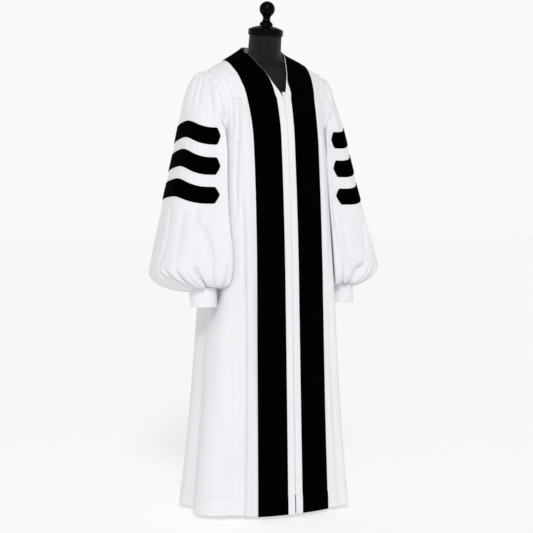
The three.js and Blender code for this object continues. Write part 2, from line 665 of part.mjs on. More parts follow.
// The yoke seam by its share in width
function seamByShare(seam, share) {
  const x = share * seam[FRONT_STATIONS].x;
  let i = 0;
  while (i < FRONT_STATIONS - 1 && seam[i + 1].x < x) i += 1;
  return mixPoint(seam[i], seam[i + 1], (x - seam[i].x) / (seam[i + 1].x - seam[i].x));
}

// Share in width of a station on a row of the front yoke. The velvet's inner edge draws in to the neck edge.
function yokeShare(seam, station, t) {
  const onSeam = seam[station].x / seam[FRONT_STATIONS].x;
  const whole = shoulderLine[3].x - shoulderLine[0].x;
  if (station !== 1) return (onSeam + (shoulderAt(station).x - shoulderLine[0].x) / whole) / 2;
  const drawn = smooth((neckFrontAt(t).z - HEM_UP - YOKE_SEAM_UP) / (STRIP_TOP - YOKE_SEAM_UP));
  return mix(onSeam, NECK_EDGE_SHARE, drawn);
}

// The front yoke for the left side, from the yoke seam up to the shoulder line
function frontYokeGrid() {
  const seam = frontRow(1, YOKE_SEAM_UP);
  const top = armholeAngle(YOKE_SEAM_UP);
  const outer = (t) => (t <= 0 ? seam[FRONT_STATIONS].clone() : armholePoint(mix(top, 0, t)));
  const inner = (t) => (t <= 0 ? seam[0].clone() : neckFrontAt(t));
  const rows = [];
  for (let i = 0; i <= YOKE_ROWS; i += 1) {
    const t = i / YOKE_ROWS;
    const row = [];
    for (let j = 0; j <= FRONT_STATIONS; j += 1) {
      const u = clamp(yokeShare(seam, j, t), 0, 1);
      const start = j === 1 ? seamByShare(seam, u) : seam[j];
      const end = j === 1 ? shoulderByShare(u) : shoulderAt(j);
      const spot = coons(inner, outer, start, end, u, t);
      row.push(swollen(spot, frontSwell, u, t));
    }
    rows.push(row);
  }
  return raiseRidge(rows);
}

// The raised band along the armhole edge, a step up near the ridge seam
function raiseRidge(rows) {
  const normals = gridNormals(rows, false);
  rows.forEach((row, i) => {
    const edge = row[row.length - 1].clone();
    row.forEach((spot, j) => {
      const inside = spot.distanceTo(edge);
      const lift = RIDGE.height * bump(inside - RIDGE.offset, RIDGE.width);
      if (i > 0) spot.addScaledVector(normals[i][j], lift);
    });
  });
  return rows;
}

// Half of the back yoke: rays from the neck edge out to the armhole edge and the back yoke seam
function backYokeRays() {
  const low = armholeAngle(YOKE_SEAM_UP);
  const outer = (t) => {
    if (t < ARMHOLE_SHARE) return armholePoint(-low * (t / ARMHOLE_SHARE));
    return backPoint(1 - (t - ARMHOLE_SHARE) / (1 - ARMHOLE_SHARE), YOKE_SEAM_UP);
  };
  const rays = [];
  for (let i = 0; i <= BACK_YOKE_RAYS; i += 1) {
    const t = i / BACK_YOKE_RAYS;
    const width = mix(BACK_VELVET_WIDTH.shoulder, BACK_VELVET_WIDTH.middle, smooth(t));
    rays.push(backYokeRay(neckBackAt, outer, t, width));
  }
  return rays;
}

function backYokeRay(inner, outer, t, velvetWidth) {
  const at = (u) => swollen(coons(inner, outer, shoulderByShare(u), backMiddleAt(u), u, t), backSwell, u, t);
  const reach = outer(t).distanceTo(inner(t));
  const split = velvetWidth / reach;
  const row = [];
  for (let j = 0; j <= VELVET_COLUMNS; j += 1) row.push(at((split * j) / VELVET_COLUMNS));
  for (let j = 1; j <= BACK_YOKE_OUTER_COLUMNS; j += 1) {
    row.push(at(mix(split, 1, j / BACK_YOKE_OUTER_COLUMNS)));
  }
  return row;
}

// The shoulder line by its share in width
function shoulderByShare(share) {
  const neck = shoulderLine[0];
  const velvet = shoulderLine[1];
  const whole = shoulderLine[3].x - neck.x;
  const split = (velvet.x - neck.x) / whole;
  if (share <= split) return shoulderAt((share / split) * (VELVET_COLUMNS + 1));
  return shoulderLower((share - split) / (1 - split));
}

function backYokeGrid() {
  const left = backYokeRays();
  const right = left.slice(0, -1).map((row) => row.map((spot) => new THREE.Vector3(-spot.x, spot.y, spot.z)));
  return [...left, ...right.reverse()];
}

// Outward directions at the points of a grid, from the neighbours along and across
function gridNormals(rows, closed) {
  const count = rows[0].length;
  const place = (j) => (closed ? (j + count) % count : clamp(j, 0, count - 1));
  return rows.map((row, i) => row.map((spot, j) => {
    const across = row[place(j + 1)].clone().sub(row[place(j - 1)]);
    const below = rows[Math.max(i - 1, 0)][j];
    const above = rows[Math.min(i + 1, rows.length - 1)][j];
    return across.cross(above.clone().sub(below)).normalize();
  }));
}

const pullIn = (spot, towards) => spot.add(towards.clone().sub(spot).setLength(SEAM_TRIM));

// Pulls the first and last rows of a grid in a little, so that seams keep a gap
function trimEnds(rows) {
  const out = rows.map((row) => row.map((spot) => spot.clone()));
  const last = rows.length - 1;
  out[0].forEach((spot, j) => pullIn(spot, rows[1][j]));
  out[last].forEach((spot, j) => pullIn(spot, rows[last - 1][j]));
  return out;
}

// Pulls all four borders of an open grid in
function trimmed(rows) {
  return trimSides(trimEnds(rows));
}

function trimSides(rows) {
  const last = rows[0].length - 1;
  return rows.map((row) => {
    const out = row.map((spot) => spot.clone());
    pullIn(out[0], row[1]);
    pullIn(out[last], row[last - 1]);
    return out;
  });
}

// A closed wall over a grid: its outer skin lifted, its inner skin a wall's thickness within, and rims.
// At the listed rim points the wall stands square to an axis, so that two walls meet flush at a seam.
function clothWall(rows, { wall = WALL, lift = 0, closed = false, rims = [], outward = null }) {
  const normals = outward ?? gridNormals(rows, closed);
  rims.forEach(([i, j, axis]) => {
    normals[i][j][axis] = 0;
    normals[i][j].normalize();
  });
  const count = rows[0].length;
  const skin = (distance) => rows.map((row, i) => row.map((spot, j) => (
    spot.clone().addScaledVector(normals[i][j], distance))));
  const outside = lift > 0 ? lift + wall : 0;
  const inside = outside - wall;
  const points = [...skin(outside).flat(), ...skin(inside).flat()];
  const layer = rows.length * count;
  const faces = [];
  const quad = (a, b, c, d) => faces.push(a, b, c, a, c, d);
  const at = (i, j) => i * count + (j % count);
  const steps = closed ? count : count - 1;
  for (let i = 0; i < rows.length - 1; i += 1) {
    for (let j = 0; j < steps; j += 1) {
      quad(at(i, j), at(i, j + 1), at(i + 1, j + 1), at(i + 1, j));
      quad(layer + at(i, j), layer + at(i + 1, j), layer + at(i + 1, j + 1), layer + at(i, j + 1));
    }
  }
  const last = rows.length - 1;
  for (let j = 0; j < steps; j += 1) {
    quad(at(0, j + 1), at(0, j), layer + at(0, j), layer + at(0, j + 1));
    quad(at(last, j), at(last, j + 1), layer + at(last, j + 1), layer + at(last, j));
  }
  if (!closed) {
    for (let i = 0; i < last; i += 1) {
      quad(at(i, 0), at(i + 1, 0), layer + at(i + 1, 0), layer + at(i, 0));
      quad(at(i + 1, count - 1), at(i, count - 1), layer + at(i, count - 1), layer + at(i + 1, count - 1));
    }
  }
  return geometryOf(points, faces);
}

function geometryOf(points, faces) {
  const geometry = new THREE.BufferGeometry();
  const numbers = [];
  points.forEach((spot) => numbers.push(spot.x, spot.y, spot.z));
  geometry.setAttribute('position', new THREE.Float32BufferAttribute(numbers, 3));
  geometry.setIndex(faces);
  geometry.computeVertexNormals();
  return geometry;
}

// A solid through rings of points, closed by a fan at each end
function loftRings(rings) {
  const count = rings[0].length;
  const points = rings.flat();
  const faces = [];
  for (let i = 0; i < rings.length - 1; i += 1) {
    for (let j = 0; j < count; j += 1) {
      const a = i * count + j;
      const b = i * count + ((j + 1) % count);
      faces.push(a, b, b + count, a, b + count, a + count);
    }
  }
  const centre = (ring) => ring.reduce((sum, spot) => sum.add(spot), new THREE.Vector3()).divideScalar(count);
  points.push(centre(rings[0]), centre(rings[rings.length - 1]));
  const low = points.length - 2;
  const top = (rings.length - 1) * count;
  for (let j = 0; j < count; j += 1) {
    faces.push(low, (j + 1) % count, j);
    faces.push(low + 1, top + j, top + ((j + 1) % count));
  }
  return geometryOf(points, faces);
}

const object = new THREE.Group();

function addPiece(parent, name, geometry, look) {
  const mesh = new THREE.Mesh(geometry, new THREE.MeshStandardMaterial(look));
  mesh.name = name;
  parent.add(mesh);
  return mesh;
}

// Turns the rows of a grid so that its faces point outward on the mirrored side
const facing = (rows, side) => (side < 0 ? rows.map((row) => [...row].reverse()) : rows);
const mirrorRows = (rows) => rows.map((row) => row.map((spot) => new THREE.Vector3(-spot.x, spot.y, spot.z)));

const rimAlongRow = (rows, i, axis) => rows[i].map((_, j) => [i, j, axis]);

function addBodyPanels(frontYokes) {
  for (const side of [-1, 1]) {
    const name = side < 0 ? 'right' : 'left';
    const front = bodyRows.map((up) => frontRow(side, up));
    const onTop = rimAlongRow(front, front.length - 1, 'z');
    const frontWall = clothWall(trimmed(facing(front, side)), { rims: onTop });
    addPiece(object, `front_${name}`, frontWall, colours.cloth);
    const yoke = side < 0 ? mirrorRows(frontYokes) : frontYokes;
    const seams = [...rimAlongRow(yoke, 0, 'z'), ...rimAlongRow(yoke, yoke.length - 1, 'y')];
    const yokeWall = clothWall(trimmed(facing(yoke, side)), { rims: seams });
    addPiece(object, `yoke_front_${name}`, yokeWall, colours.cloth);
    addVelvet(side, name, front, yoke);
  }
  const back = bodyRows.map(backRow);
  const backWall = clothWall(trimmed(back), { rims: rimAlongRow(back, back.length - 1, 'z') });
  addPiece(object, 'back', backWall, colours.cloth);
  const yokeBackWall = clothWall(trimmed(backYokeGrid()), { rims: backYokeRims() });
  addPiece(object, 'yoke_back', yokeBackWall, colours.cloth);
}

// The back yoke's seams: along both shoulders, and along the back seam on the rays that end there
function backYokeRims() {
  const rays = backYokeGrid();
  const last = rays.length - 1;
  const outside = rays[0].length - 1;
  const rims = [...rimAlongRow(rays, 0, 'y'), ...rimAlongRow(rays, last, 'y')];
  const turning = Math.ceil(BACK_YOKE_RAYS * ARMHOLE_SHARE);
  for (let i = turning; i <= last - turning; i += 1) rims.push([i, outside, 'z']);
  return rims;
}

// The velvet panel lies on the front, over the shoulder and round to the middle of the back
function addVelvet(side, name, front, yoke) {
  const last = VELVET_COLUMNS + 1;
  const onFront = front.slice(0, -2).map((row) => row.slice(1, last + 1));
  const onYoke = yoke.map((row) => row.slice(1, last + 1));
  const rays = side < 0 ? mirrorRows(backYokeRays()) : backYokeRays();
  const onBack = rays.slice(1).map((row) => row.slice(0, last));
  const rows = trimmed([...onFront, ...onYoke, ...onBack]);
  const geometry = clothWall(facing(rows, side), { wall: VELVET_WALL, lift: LAY_GAP });
  addPiece(object, `velvet_${name}`, geometry, colours.velvet);
}

function addSleeve(side, name) {
  const rows = sleeveGrid(side);
  const whole = trimEnds(rows);
  const outward = gridNormals(whole, true).map((row) => row.map((normal) => normal.multiplyScalar(side)));
  for (const gore of sleeveGores) {
    const take = (grid) => facing(grid.map((row) => goreOf(row, gore)), side);
    const wall = clothWall(trimSides(take(whole)), { outward: take(outward) });
    addPiece(object, `sleeve_${name}_${gore.name}`, wall, colours.cloth);
  }
  bars.forEach((bar, index) => {
    addPiece(object, `bar_${name}_${index + 1}`, barGeometry(bar, rows, side), colours.velvet);
  });
}

// A bar: a strip of the sleeve's own grid between two rings, pointed at both ends
function barGeometry(bar, rows, side) {
  const picked = [];
  sleeveAngles().forEach((angle, j) => {
    if (angle <= bar.front && angle >= bar.back) picked.push(j);
  });
  const low = rows[bar.lowRing];
  const top = rows[bar.topRing];
  const across = (j, share) => mixPoint(low[j], top[j], share);
  const first = picked[0];
  const final = picked[picked.length - 1];
  const strip = [0, 0.5, 1].map((share) => [
    mixPoint(across(first, share), across(first - 1, 0.5), share === 0.5 ? 1 : BAR_TIP),
    ...picked.map((j) => across(j, share)),
    mixPoint(across(final, share), across(final + 1, 0.5), share === 0.5 ? 1 : BAR_TIP),
  ]);
  const middle = low.reduce((sum, spot) => sum.add(spot), new THREE.Vector3()).divideScalar(low.length);
  const raised = [...strip[1], strip[0][0], strip[2][0], strip[0].at(-1), strip[2].at(-1)];
  raised.forEach((spot) => spot.addScaledVector(spot.clone().sub(middle).setZ(0).normalize(), BAR_CROWN));
  const flipped = strip.map((row) => [...row].reverse());
  return clothWall(facing(flipped, side), { wall: VELVET_WALL, lift: BAR_GAP });
}

function addCuff(side, name) {
  const ring = (share, radius) => {
    const spots = [];
    const up = mix(cuff.lowUp, cuff.topUp, share);
    const x = mix(cuff.lowX, cuff.topX, share);
    const y = mix(cuff.lowY, cuff.topY, share);
    for (let j = 0; j < CUFF_SIDES; j += 1) {
      const turn = (2 * Math.PI * j) / CUFF_SIDES;
      spots.push(point(side * x + radius * Math.cos(turn), y + radius * Math.sin(turn), up));
    }
    return spots;
  };
  const rows = [0, 1].map((share) => ring(share, mix(cuff.lowRadius, cuff.topRadius, share)));
  addPiece(object, `cuff_${name}`, clothWall(rows, { wall: CUFF_WALL, closed: true }), colours.cloth);
}

// The tape: a narrow wall just behind the fronts' inner skin
function addTape() {
  const strip = (half, y, up) => [point(-half, y, up), point(half, y, up)];
  const rows = bodyRows.filter((up) => up >= TAPE.lowUp && up < YOKE_SEAM_UP).map((up) => {
    const y = -plainRadius(0, up) + WALL + TAPE.behind;
    return strip(TAPE.half, y, up);
  });
  tapeTop.forEach((row) => rows.push(strip(row.half, row.y, row.up)));
  addPiece(object, 'zip_tape', clothWall(rows, { wall: TAPE.wall }), colours.cloth);
}

function addSlider() {
  const shape = new THREE.Shape();
  shape.moveTo(SLIDER.front, SLIDER.lowUp);
  shape.lineTo(SLIDER.back, SLIDER.lowUp);
  shape.lineTo(SLIDER.back, SLIDER.topUp);
  shape.lineTo(SLIDER.front, SLIDER.topUp);
  shape.lineTo(SLIDER.front, EYE.up + EYE.radius);
  for (let i = 0; i <= EYE.steps; i += 1) {
    const turn = Math.PI * (0.5 + i / EYE.steps);
    shape.lineTo(EYE.y + EYE.radius * Math.cos(turn), EYE.up + EYE.radius * Math.sin(turn));
  }
  shape.lineTo(SLIDER.front, EYE.up - EYE.radius);
  const hole = new THREE.Path();
  hole.absarc(EYE.y, EYE.up, EYE.hole, 0, 2 * Math.PI, true);
  shape.holes.push(hole);
  const thick = { depth: 2 * SLIDER.half, bevelEnabled: false, curveSegments: EYE.steps };
  const geometry = new THREE.ExtrudeGeometry(shape, thick);
  // The drawing's first direction is depth (Y), its second is height (Z)
  const toFrame = new THREE.Matrix4().makeBasis(
    new THREE.Vector3(0, 1, 0), new THREE.Vector3(0, 0, 1), new THREE.Vector3(1, 0, 0));
  geometry.applyMatrix4(toFrame);
  geometry.translate(-SLIDER.half, 0, HEM_UP);
  addPiece(object, 'zip_slider', geometry, colours.zip);
}

function addPull() {
  const outline = [
    [-PULL.frameHalf, PULL.bar], [-PULL.frameHalf, PULL.frameLow], [-PULL.half, PULL.neckLow],
    [-PULL.half, PULL_CORNER - PULL.length], [PULL_CORNER - PULL.half, -PULL.length],
    [PULL.half - PULL_CORNER, -PULL.length], [PULL.half, PULL_CORNER - PULL.length],
    [PULL.half, PULL.neckLow], [PULL.frameHalf, PULL.frameLow], [PULL.frameHalf, PULL.bar],
  ];
  const window = [
    [-PULL.windowHalf, -PULL.bar], [PULL.windowHalf, -PULL.bar],
    [PULL.windowHalf, PULL.windowLow], [-PULL.windowHalf, PULL.windowLow],
  ];
  const spots = (list) => list.map(([x, y]) => new THREE.Vector2(x, y));
  const shape = new THREE.Shape(spots(outline));
  shape.holes.push(new THREE.Path(spots(window)));
  const geometry = new THREE.ExtrudeGeometry(shape, { depth: PULL_THICK, bevelEnabled: false });
  geometry.translate(0, 0, -PULL_THICK / 2);
  geometry.rotateX(Math.PI / 2 - PULL_LEAN * DEGREE);
  geometry.translate(0, EYE.y, EYE.up + HEM_UP);
  addPiece(object, 'zip_pull', geometry, colours.zip);
}

function addTorso() {
  const rings = torsoRings.map((row) => {
    const spots = [];
    for (let j = 0; j < TORSO_SIDES; j += 1) {
      const turn = (2 * Math.PI * j) / TORSO_SIDES;
      const depth = Math.sin(turn) < 0 ? row.front : row.back;
      spots.push(point(row.half * Math.cos(turn), row.y + depth * Math.sin(turn), row.up));
    }
    return spots;
  });
  addPiece(object, 'form_torso', loftRings(rings), colours.formCloth);
}

function turned(profile) {
  const outline = profile.map((row) => new THREE.Vector2(row.r, row.up));
  const geometry = new THREE.LatheGeometry(outline, TURNED_SIDES);
  geometry.rotateX(Math.PI / 2);
  return geometry;
}

function addHeadOfForm() {
  const head = new THREE.Group();
  head.position.set(0, NECK_TOP.y, NECK_TOP.up + HEM_UP);
  head.rotation.x = NECK_TILT * DEGREE;
  object.add(head);
  addPiece(head, 'form_cap', turned(capProfile), colours.gloss);
  const ball = [];
  for (let i = 1; i <= BALL_STEPS; i += 1) {
    const turn = mix(BALL_FROM, Math.PI, i / BALL_STEPS);
    const r = i === BALL_STEPS ? 0 : BALL_RADIUS * Math.sin(turn);
    ball.push({ r, up: BALL_UP - BALL_RADIUS * Math.cos(turn) });
  }
  addPiece(head, 'form_finial', turned([...finialProfile, ...ball]), colours.gloss);
}

function addStand() {
  addPiece(object, 'form_base', turned(baseProfile), colours.gloss);
  const pole = new THREE.CylinderGeometry(POLE.radius, POLE.radius, POLE.topUp - POLE.lowUp, POLE.sides);
  pole.rotateX(Math.PI / 2);
  const mesh = addPiece(object, 'form_pole', pole, colours.gloss);
  mesh.position.z = (POLE.topUp + POLE.lowUp) / 2;
}

addBodyPanels(frontYokeGrid());
for (const side of [-1, 1]) {
  const name = side < 0 ? 'right' : 'left';
  addSleeve(side, name);
  addCuff(side, name);
}
addTape();
addSlider();
addPull();
addTorso();
addHeadOfForm();
addStand();

export default object;
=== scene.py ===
"""A white clergy robe with black velvet panels and sleeve bars, on a limbless dress form.

The shapes repeat the sizes of the solids, in millimetres above the hem, at a finer grain and with
the soft creases, stitching, pile and weave that the solids leave out. Meshes are in metres.
"""
import math

import bpy
import numpy as np
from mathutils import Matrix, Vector


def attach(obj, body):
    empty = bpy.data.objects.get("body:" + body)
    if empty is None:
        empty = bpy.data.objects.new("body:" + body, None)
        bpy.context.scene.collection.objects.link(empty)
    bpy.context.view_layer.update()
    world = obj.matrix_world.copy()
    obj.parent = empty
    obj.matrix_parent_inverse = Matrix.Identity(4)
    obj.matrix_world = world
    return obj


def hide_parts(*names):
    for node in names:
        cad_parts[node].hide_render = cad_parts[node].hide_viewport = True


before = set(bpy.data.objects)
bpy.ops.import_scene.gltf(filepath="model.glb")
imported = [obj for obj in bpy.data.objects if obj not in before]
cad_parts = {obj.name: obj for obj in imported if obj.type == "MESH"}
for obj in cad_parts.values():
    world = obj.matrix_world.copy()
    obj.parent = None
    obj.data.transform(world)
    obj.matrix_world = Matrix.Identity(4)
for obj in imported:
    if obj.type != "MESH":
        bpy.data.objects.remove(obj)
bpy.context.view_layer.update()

MM = 0.001
HEM_UP = 12
BODY = "robe"

# Seams and layers
CLOTH_WALL = 1.1
SEAM_GAP = 0.05
ARMHOLE_GAP = 0.08
VELVET_LIFT = 0.45
VELVET_WALL = 1.9
VELVET_EDGE = 2.6
PANEL_WIDTH, BAR_WIDTH = 93, 48
# Distances from a velvet piece's edge at which its mesh has columns
NEAR_EDGE = np.array([0, 0.25, 0.55, 1.0, 1.6, 2.6, 4.5])
YOKE_SEAM_UP = 1318
UNDERARM_UP = 1166
HEM = {"up": 58, "fold": 1.7, "groove": 1}

# Body sections: height, half width, depths to the front and back, squareness
BODY_SECTIONS = np.array([
    (0, 285, 209, 214, 2.3),
    (300, 253, 199, 199, 2.35),
    (520, 234, 191.5, 188, 2.5),
    (650, 223, 187, 181, 2.65),
    (800, 205, 181.5, 172, 2.95),
    (1000, 186, 170, 158, 3.3),
    (1166, 180, 156.5, 143, 3.3),
    (1217, 177, 151, 138, 3.1),
    (1280, 174, 137, 128, 2.9),
    (1318, 174, 125.5, 119, 2.7),
])

# Front stations: height, distance of the front edge and of the velvet's two edges from the middle
FRONT_STATIONS = np.array([
    (0, 2.2, 25.7, 124.8),
    (300, 1.6, 24.8, 120.8),
    (600, 0.9, 24.2, 118.2),
    (940, 0.7, 23.9, 115.6),
    (1217, 0.7, 23.7, 115.7),
    (1318, 0.7, 25.5, 120.4),
])
VELVET_STATION = 5
LAST_STATION = 15

# Flutes of the skirt: place across, width, depth at the hem, height where they fade out
FRONT_FLUTES = {
    -1: [(0.05, 0.07, -16, 1180), (0.31, 0.13, -30, 1020), (0.62, 0.14, 6, 800), (0.97, 0.13, -36, 900)],
    1: [(0.06, 0.07, -17, 1180), (0.27, 0.13, 15, 900), (0.56, 0.11, -24, 960), (0.97, 0.12, -30, 880)],
}
BACK_FLUTES = [
    (-0.8, 0.1, 8, 900), (-0.6, 0.09, -30, 1180), (-0.23, 0.08, -27, 1240),
    (0.14, 0.09, -31, 1240), (0.55, 0.09, -28, 1180), (0.8, 0.1, 9, 900),
]
BACK_GATHERS = 13
CUFF_DENT = {"at": 0.75, "width": 0.24, "up": 690, "reach": 110, "depth": 22}

# Folds of the fronts: a line of (height, distance from the middle), width, depth
FRONT_FOLDS = {
    -1: [
        ([(1318, 143), (1211, 153), (1116, 161), (1039, 165), (900, 166)], 7, -9),
        ([(1318, 125), (1150, 127), (800, 126), (364, 125), (-60, 126)], 6, -6),
        ([(1318, 152), (1265, 160), (1200, 166)], 5, -7), ([(1318, 139), (1225, 141)], 4, -4),
        ([(1318, 131), (1270, 132)], 3, -2), ([(1318, 148), (1280, 151)], 3, -2.4),
        ([(1318, 158), (1285, 163)], 4, -3), ([(1318, 167), (1270, 170)], 4, -3),
        ([(1240, 136), (900, 141), (400, 147), (75, 152), (-60, 152)], 8, 4),
        ([(1020, 154), (850, 153), (600, 158)], 8, -8),
        ([(800, 154), (550, 159), (360, 163), (200, 169), (-60, 177)], 14, -15),
        ([(560, 182), (250, 194), (-60, 206)], 12, 4),
    ],
    1: [
        ([(1318, 160), (1250, 165), (1111, 175), (990, 181)], 7, -9),
        ([(1318, 134), (1282, 142), (1247, 149), (1120, 156)], 5, -5),
        ([(1318, 126), (1100, 128), (700, 128), (-60, 130)], 6, -4),
        ([(1318, 146), (1280, 149)], 3, -2.4), ([(1318, 153), (1275, 157)], 4, -3),
        ([(1318, 168), (1270, 171)], 4, -3), ([(1100, 139), (400, 146), (-60, 152)], 8, 4),
        ([(900, 151), (500, 159), (200, 169), (-60, 179)], 13, -11),
        ([(640, 192), (300, 208), (-60, 226)], 14, -7),
    ],
}
# The white strip between the velvets: the right edge lies over the left one, which has fine tucks
STRIP = {"over": 0.7, "under": -0.9, "tucks": (0.24, 0.46, 0.7), "tuck_depth": 0.7, "tuck_width": 0.06}

# Armhole: height and depth of its middle, its reach, how far it leans out and bows in
ARMHOLE = {"up": 1287, "y": 15, "reach": 121, "front": 92, "back": 94, "x": 194, "lean": 13, "bow": 23}

# Sleeve rings: outer end x and up, inner end x and up, heights of the front and back lines,
# middle in depth, reach to the front and back, bow, crest, squareness, then the inner corner's
# squareness and lobe
SLEEVE_RINGS = np.array([
    (207, 1408, 181, 1166, 1287, 1287, 15, 92, 94, 23, 0, 2, 2, 0),
    (231, 1399, 184, 1163, 1281, 1281, 26, 103, 97, 16, 0, 2, 2, 1),
    (248, 1364, 185, 1161, 1267, 1267, 40, 113, 98, 15, 1, 2, 2.1, 6),
    (263, 1320, 184, 1160, 1252, 1250, 43, 116, 98, 13, 4, 2.1, 2.4, 11),
    (274, 1274, 183, 1158, 1236, 1236, 41, 114, 100, 10, 8, 2.2, 3, 16),
    (282, 1236, 181, 1153, 1221, 1222, 38, 111, 103, 7, 11, 2.3, 3.8, 20),
    (294, 1182, 178, 1138, 1167, 1170, 33, 110, 108, 4, 12, 2.4, 4.5, 22),
    (302, 1145, 177, 1114, 1127, 1132, 31, 111, 109, 2, 12, 2.4, 4.8, 22),
    (315, 1091, 177, 1060, 1072, 1078, 28, 112, 111, 0, 11, 2.5, 4.8, 22),
    (324, 1053, 177, 1022, 1034, 1040, 26, 113, 113, 0, 10, 2.5, 4.8, 22),
    (339, 998, 177, 968, 981, 985, 22, 116, 115, 0, 8, 2.5, 4.8, 22),
    (355, 926, 177, 906, 914, 915, 15, 121, 119, 0, 4, 2.5, 4.6, 23),
    (374, 852, 176, 846, 854, 846, 9, 129, 125, 0, 0, 2.5, 4.3, 25),
    (394, 788, 176, 788, 800, 782, 4, 135, 129, 0, 6, 2.4, 4, 26),
    (397, 752, 178, 758, 772, 741, 0, 132, 128, 0, 11, 2.3, 3.9, 26),
    (376, 724, 182, 728, 746, 709, -12, 118, 113, 0, 13, 2.1, 3.8, 24),
    (335, 708, 190, 711, 726, 696, -32, 88, 84, 0, 10, 2, 3.4, 20),
    (307, 708, 203, 712, 719, 702, -44, 58, 60, 0, 0, 2, 2, 0),
    (294.6, 719.3, 205.4, 719.3, 719.3, 719.3, -50, 44.6, 44.6, 0, 0, 2, 2, 0),
])
LAST_RING = len(SLEEVE_RINGS) - 1
SLEEVE_TABLE = np.column_stack([np.arange(LAST_RING + 1), SLEEVE_RINGS])
CREST_AT, CREST_WIDTH = 20, 26
LOBE_AT, LOBE_WIDTH = 132, 24
# Fullness of the sleeve's cap: depth on each side, then where it lies and how far it reaches
CAP_FULLNESS = {-1: 10, 1: 0}
CAP = {"place": 2.2, "reach": 1.6, "angle": -20, "width": 50}
SLEEVE_BODY_GAP = 3

# Folds of the sleeve: a line of (place, angle), width, depth
SLEEVE_FOLDS = {
    -1: [
        ([(0.35, 9), (1.3, 24), (2.6, 33), (4.6, 42)], 6, 9),
        ([(0.35, 26), (1.1, 42), (2.05, 67), (2.8, 83), (4.3, 97)], 6, 9),
        ([(0.35, 36), (1.3, 53)], 4, 6), ([(0.35, 46), (1.1, 60)], 4, 6),
        ([(0.4, 56), (0.7, 77), (0.7, 92), (0.6, 110), (1.4, 124)], 5, 8),
        ([(0.4, 66), (0.4, 88), (0.35, 105), (0.35, 120)], 4, 6),
        ([(0.5, 2), (2.2, 17), (4.6, 16)], 8, 6), ([(0.8, -30), (2, -20), (4.5, -8)], 9, 6),
        ([(3, 58), (4.6, 62)], 8, 3), ([(10.1, 80), (11, 90), (12, 97), (13, 105), (14.6, 117)], 13, 13),
        ([(10.3, 10), (11.7, 13), (14, 13)], 9, 8), ([(13.7, 13), (14.6, 26), (15.2, 41)], 5, 8),
        ([(10.3, 47), (12, 45), (13.4, 52)], 14, 6), ([(10.2, 64), (12, 68), (13.4, 72)], 16, -6),
        ([(6.2, 30), (6.9, 31)], 6, 3), ([(6.2, 52), (6.9, 54)], 6, 3), ([(8.2, 34), (8.9, 35)], 6, 3),
        ([(8.2, 56), (8.9, 58)], 6, 3),
    ],
    1: [
        ([(0.35, 54), (1, 71), (2, 82), (3.4, 91)], 6, 10), ([(1, 13), (3, 20), (4.7, 22)], 9, 6),
        ([(0.3, 82), (0.4, 100), (0.5, 118)], 5, 5), ([(0.2, 34), (1.2, 48)], 4, 4),
        ([(0.2, 60), (0.9, 75)], 4, 4), ([(0.2, 20), (1.6, 28), (3.4, 30)], 7, 4),
        ([(0.2, 2), (2, 0), (4.6, -2)], 9, 5), ([(0.2, 72), (1.8, 92), (4.4, 104)], 7, 6),
        ([(9.6, 114), (10.6, 115), (12.2, 112)], 8, 6), ([(11, 62), (11.8, 72), (13.1, 84)], 9, 8),
        ([(13, 84), (14, 90), (15.2, 93)], 5, 8), ([(10.3, 30), (12, 32), (13.8, 34)], 12, 7),
        ([(10.6, 96), (12, 98), (13.4, 99)], 8, 4), ([(6.2, 92), (6.9, 92)], 6, 3),
        ([(6.2, 70), (6.9, 71)], 6, 3), ([(8.2, 88), (8.9, 88)], 6, 3), ([(10.2, 48), (13, 52)], 14, -5),
    ],
}
BACK_SLEEVE_FOLDS = [
    ([(0.2, -20), (2, -26), (4.6, -24)], 9, 5), ([(0.2, -38), (1.6, -50), (4, -58)], 7, 6),
    ([(0.2, -54), (2, -66), (4.6, -76)], 8, 6), ([(0.2, -70), (1.4, -84), (4, -92)], 7, 6),
    ([(0.2, -88), (1.5, -100), (4.4, -106)], 7, 6), ([(0.2, -30), (1, -36)], 4, 3),
    ([(0.2, -46), (1, -54)], 4, 3), ([(0.2, -62), (1, -72)], 4, 3), ([(0.2, -79), (1, -90)], 4, 3),
    ([(7.5, -72), (10, -66), (13.6, -50)], 14, 10), ([(9.6, -118), (11.5, -108), (13.6, -96)], 13, 9),
    ([(8.5, -96), (11, -88), (13, -80)], 14, -6), ([(10.2, -22), (12, -24), (13.8, -30)], 12, 8),
    ([(10.5, -44), (13, -38)], 14, -5),
]
# Folds over the puff's lower lip: angle above and at the lip, width, depth
LIP_FOLDS = {
    -1: [
        (47, 53, 6, 13), (80, 86, 6, 15), (99, 101, 4, 9), (13, 40, 5, 10), (118, 122, 6, 10),
        (64, 69, 3, 4), (-12, -16, 6, 11), (-42, -40, 6, 10),
    ],
    1: [
        (86, 92, 6, 13), (108, 113, 5, 10), (60, 62, 5, 10), (30, 36, 6, 11), (5, 2, 6, 10),
        (75, 77, 3, 4), (-20, -24, 6, 11), (-44, -42, 6, 10),
    ],
}
BACK_LIP_FOLDS = [
    (-68, -72, 6, 12), (-98, -95, 6, 11), (150, 150, 7, 8), (178, 180, 7, 8), (205, 208, 7, 9),
    (-124, -126, 7, 9),
]
LIP_RISE = 0.7
FOLD_STEPS = 15
FOLD_REACH = 2.6
CUFF_GATHERS = 17

# Cuff: heights, middles and radii at the top and foot
CUFF = {"top": (717.3, 250, -50, 43.2), "low": (656, 249, -57, 42)}

# Bars: places along the sleeve of their top and bottom edges, tip angles to the front and back
BARS = [(5, 6, 103.4, -94.8), (7, 8, 103.4, -94.8), (9, 10, 103.4, -94.8)]
BAR_POINT = 8.6

